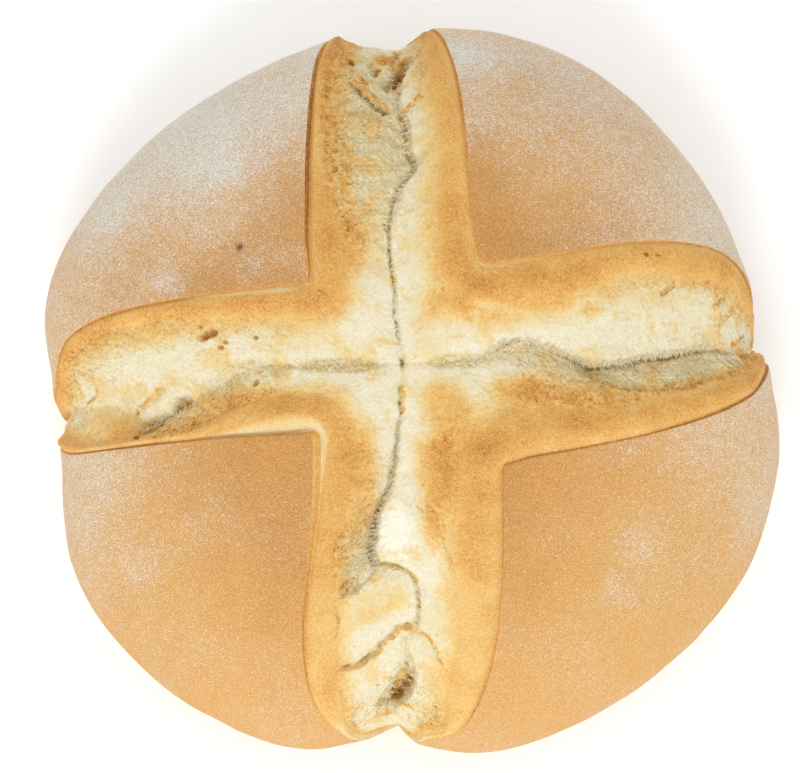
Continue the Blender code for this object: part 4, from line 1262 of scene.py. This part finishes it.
print(crust_finish.name, "has", len(tree.nodes), "nodes")

# %% [markdown]
# ### Baked cut face
#
# Dough that never had a skin bakes from cream through yellow and gold to brown. The colour
# follows how much heat each place got, which the mesh knows, broken up by fine blisters. Deep
# in a tear the light is stained by crumb on all sides, which gives an olive shade; it is
# painted into the colour, as much as the mesh says a point lies deep.

# %% Baked cut face
cut_finish, tree, shader = new_finish("baked_wheat_crumb")
place = add(tree, "TexCoord").outputs["Object"]
toast, torn, deep = (value_of(tree, name) for name in ("toast", "torn", "deep"))
# Blisters of 0.3 mm, grain of 0.6 mm and mottling of 1.1 mm
blisters = add(tree, "TexNoise", {"Vector": place, "Scale": 3000, "Detail": 1.5, "Roughness": 0.6})
mottle = add(tree, "TexNoise", {"Vector": place, "Scale": 900, "Detail": 2})
grain = add(tree, "TexNoise", {"Vector": place, "Scale": 1600, "Detail": 2, "Roughness": 0.7})
both = add(tree, "Mix", {"Factor": 0.25, "A": blisters, "B": mottle})
uneven = add(tree, "MapRange", {"Value": both, "From Min": 0.3, "From Max": 0.7,
                                "To Min": -0.5, "To Max": 0.5})
swing = add(tree, "MapRange", {"Value": toast, "From Max": 0.6, "To Min": 0.2, "To Max": 0.5})
heat = add(tree, "Math", {0: uneven, 1: swing, 2: toast}, operation="MULTIPLY_ADD")
baked = add(tree, "ValToRGB", {"Fac": heat}, ramp=(
    (0.0, "f4eedb"), (0.08, "e6dfc6"), (0.18, "e6d6a8"), (0.3, "e8ca8c"), (0.45, "e3b76b"), (0.6, "dba354"),
    (0.75, "c98c43"), (0.9, "a87234"), (1.0, "7c5024")))
sour = add(tree, "Mix", {"Factor": torn, "A": linear("ffffff"), "B": linear("faf5e4")}, data_type="RGBA")
tinted = add(tree, "Mix", {"Factor": 1.0, "A": baked, "B": sour}, data_type="RGBA", blend_type="MULTIPLY")
# Painted shade: the deeper a point, the more its colour goes to olive brown.
shadowed = add(tree, "Mix", {"Factor": deep, "A": tinted, "B": linear("8a703e")}, data_type="RGBA")
bump = add(tree, "Bump", {"Height": grain, "Strength": 0.8, "Distance": 0.0004})
add(tree, shader, {"Base Color": shadowed, "Normal": bump, "Roughness": 0.7, "Specular IOR Level": 0.3})
print(cut_finish.name, "has", len(tree.nodes), "nodes")

# %% [markdown]
# ### Which piece wears what
#
# A cut face wears crumb, and crust on the strip that lies on the quarter beside it.

# %% Finishes on the pieces
WEARS = {crust_piece: [crust_finish], strands: [cut_finish], flakes: [cut_finish]}
for piece in (*cut_faces, crust_piece, strands, flakes):
    for finish in WEARS.get(piece, [cut_finish, crust_finish]):
        piece.data.materials.append(finish)
    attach(piece, "root")
    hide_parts("loaf")
print("pieces:", len(cut_faces) + len(WEARS))

# %% [markdown]
# ## Floor, light and camera
#
# The loaf stands on a plain white floor that glows a little, so that it stays white behind the
# loaf. Most light comes from all round, and one large soft lamp from the near side shows the
# relief. The camera looks down steeply through a long lens.

# %% Floor, light and camera
bpy.ops.mesh.primitive_plane_add(size=4)
floor = bpy.context.object
floor.name = "floor"
white, tree, shader = new_finish("floor_white")
add(tree, shader, {"Base Color": (0.92, 0.92, 0.92, 1), "Roughness": 0.9,
                   "Emission Color": (1, 1, 1, 1), "Emission Strength": 0.14})
floor.data.materials.append(white)

scene = bpy.context.scene
scene.view_settings.view_transform = "Standard"
world = bpy.data.worlds.new("studio")
world.use_nodes = True
world.node_tree.nodes["Background"].inputs["Color"].default_value = (1, 1, 1, 1)
world.node_tree.nodes["Background"].inputs["Strength"].default_value = 0.9
scene.world = world


def aimed(name, data, place, aim):
    """Object for a lamp's or camera's data, at a place and turned to look at another."""
    made = bpy.data.objects.new(name, data)
    made.location = place
    made.rotation_euler = (Vector(aim) - Vector(place)).to_track_quat("-Z", "Y").to_euler()
    scene.collection.objects.link(made)
    return made


light = bpy.data.lights.new("key", "AREA")
light.shape, light.size, light.energy = "DISK", 1.6, 56
aimed("key", light, (-0.3, -2.7, 2.8), (0, 0, 0.04))

AIM = Vector((-0.0036, -0.0004, 0.038))
CAMERA_DISTANCE, ELEVATION = 1.2, np.radians(84)
VIEW_WIDTH = 0.2153                           # what the camera takes in from side to side, m
camera_data = bpy.data.cameras.new("camera")
camera_data.sensor_width = 36
camera_data.lens = 36 * CAMERA_DISTANCE / VIEW_WIDTH
place = AIM + CAMERA_DISTANCE * Vector((0, -np.cos(ELEVATION), np.sin(ELEVATION)))
scene.camera = aimed("camera", camera_data, place, AIM)
print("camera lens, mm:", round(camera_data.lens, 1))
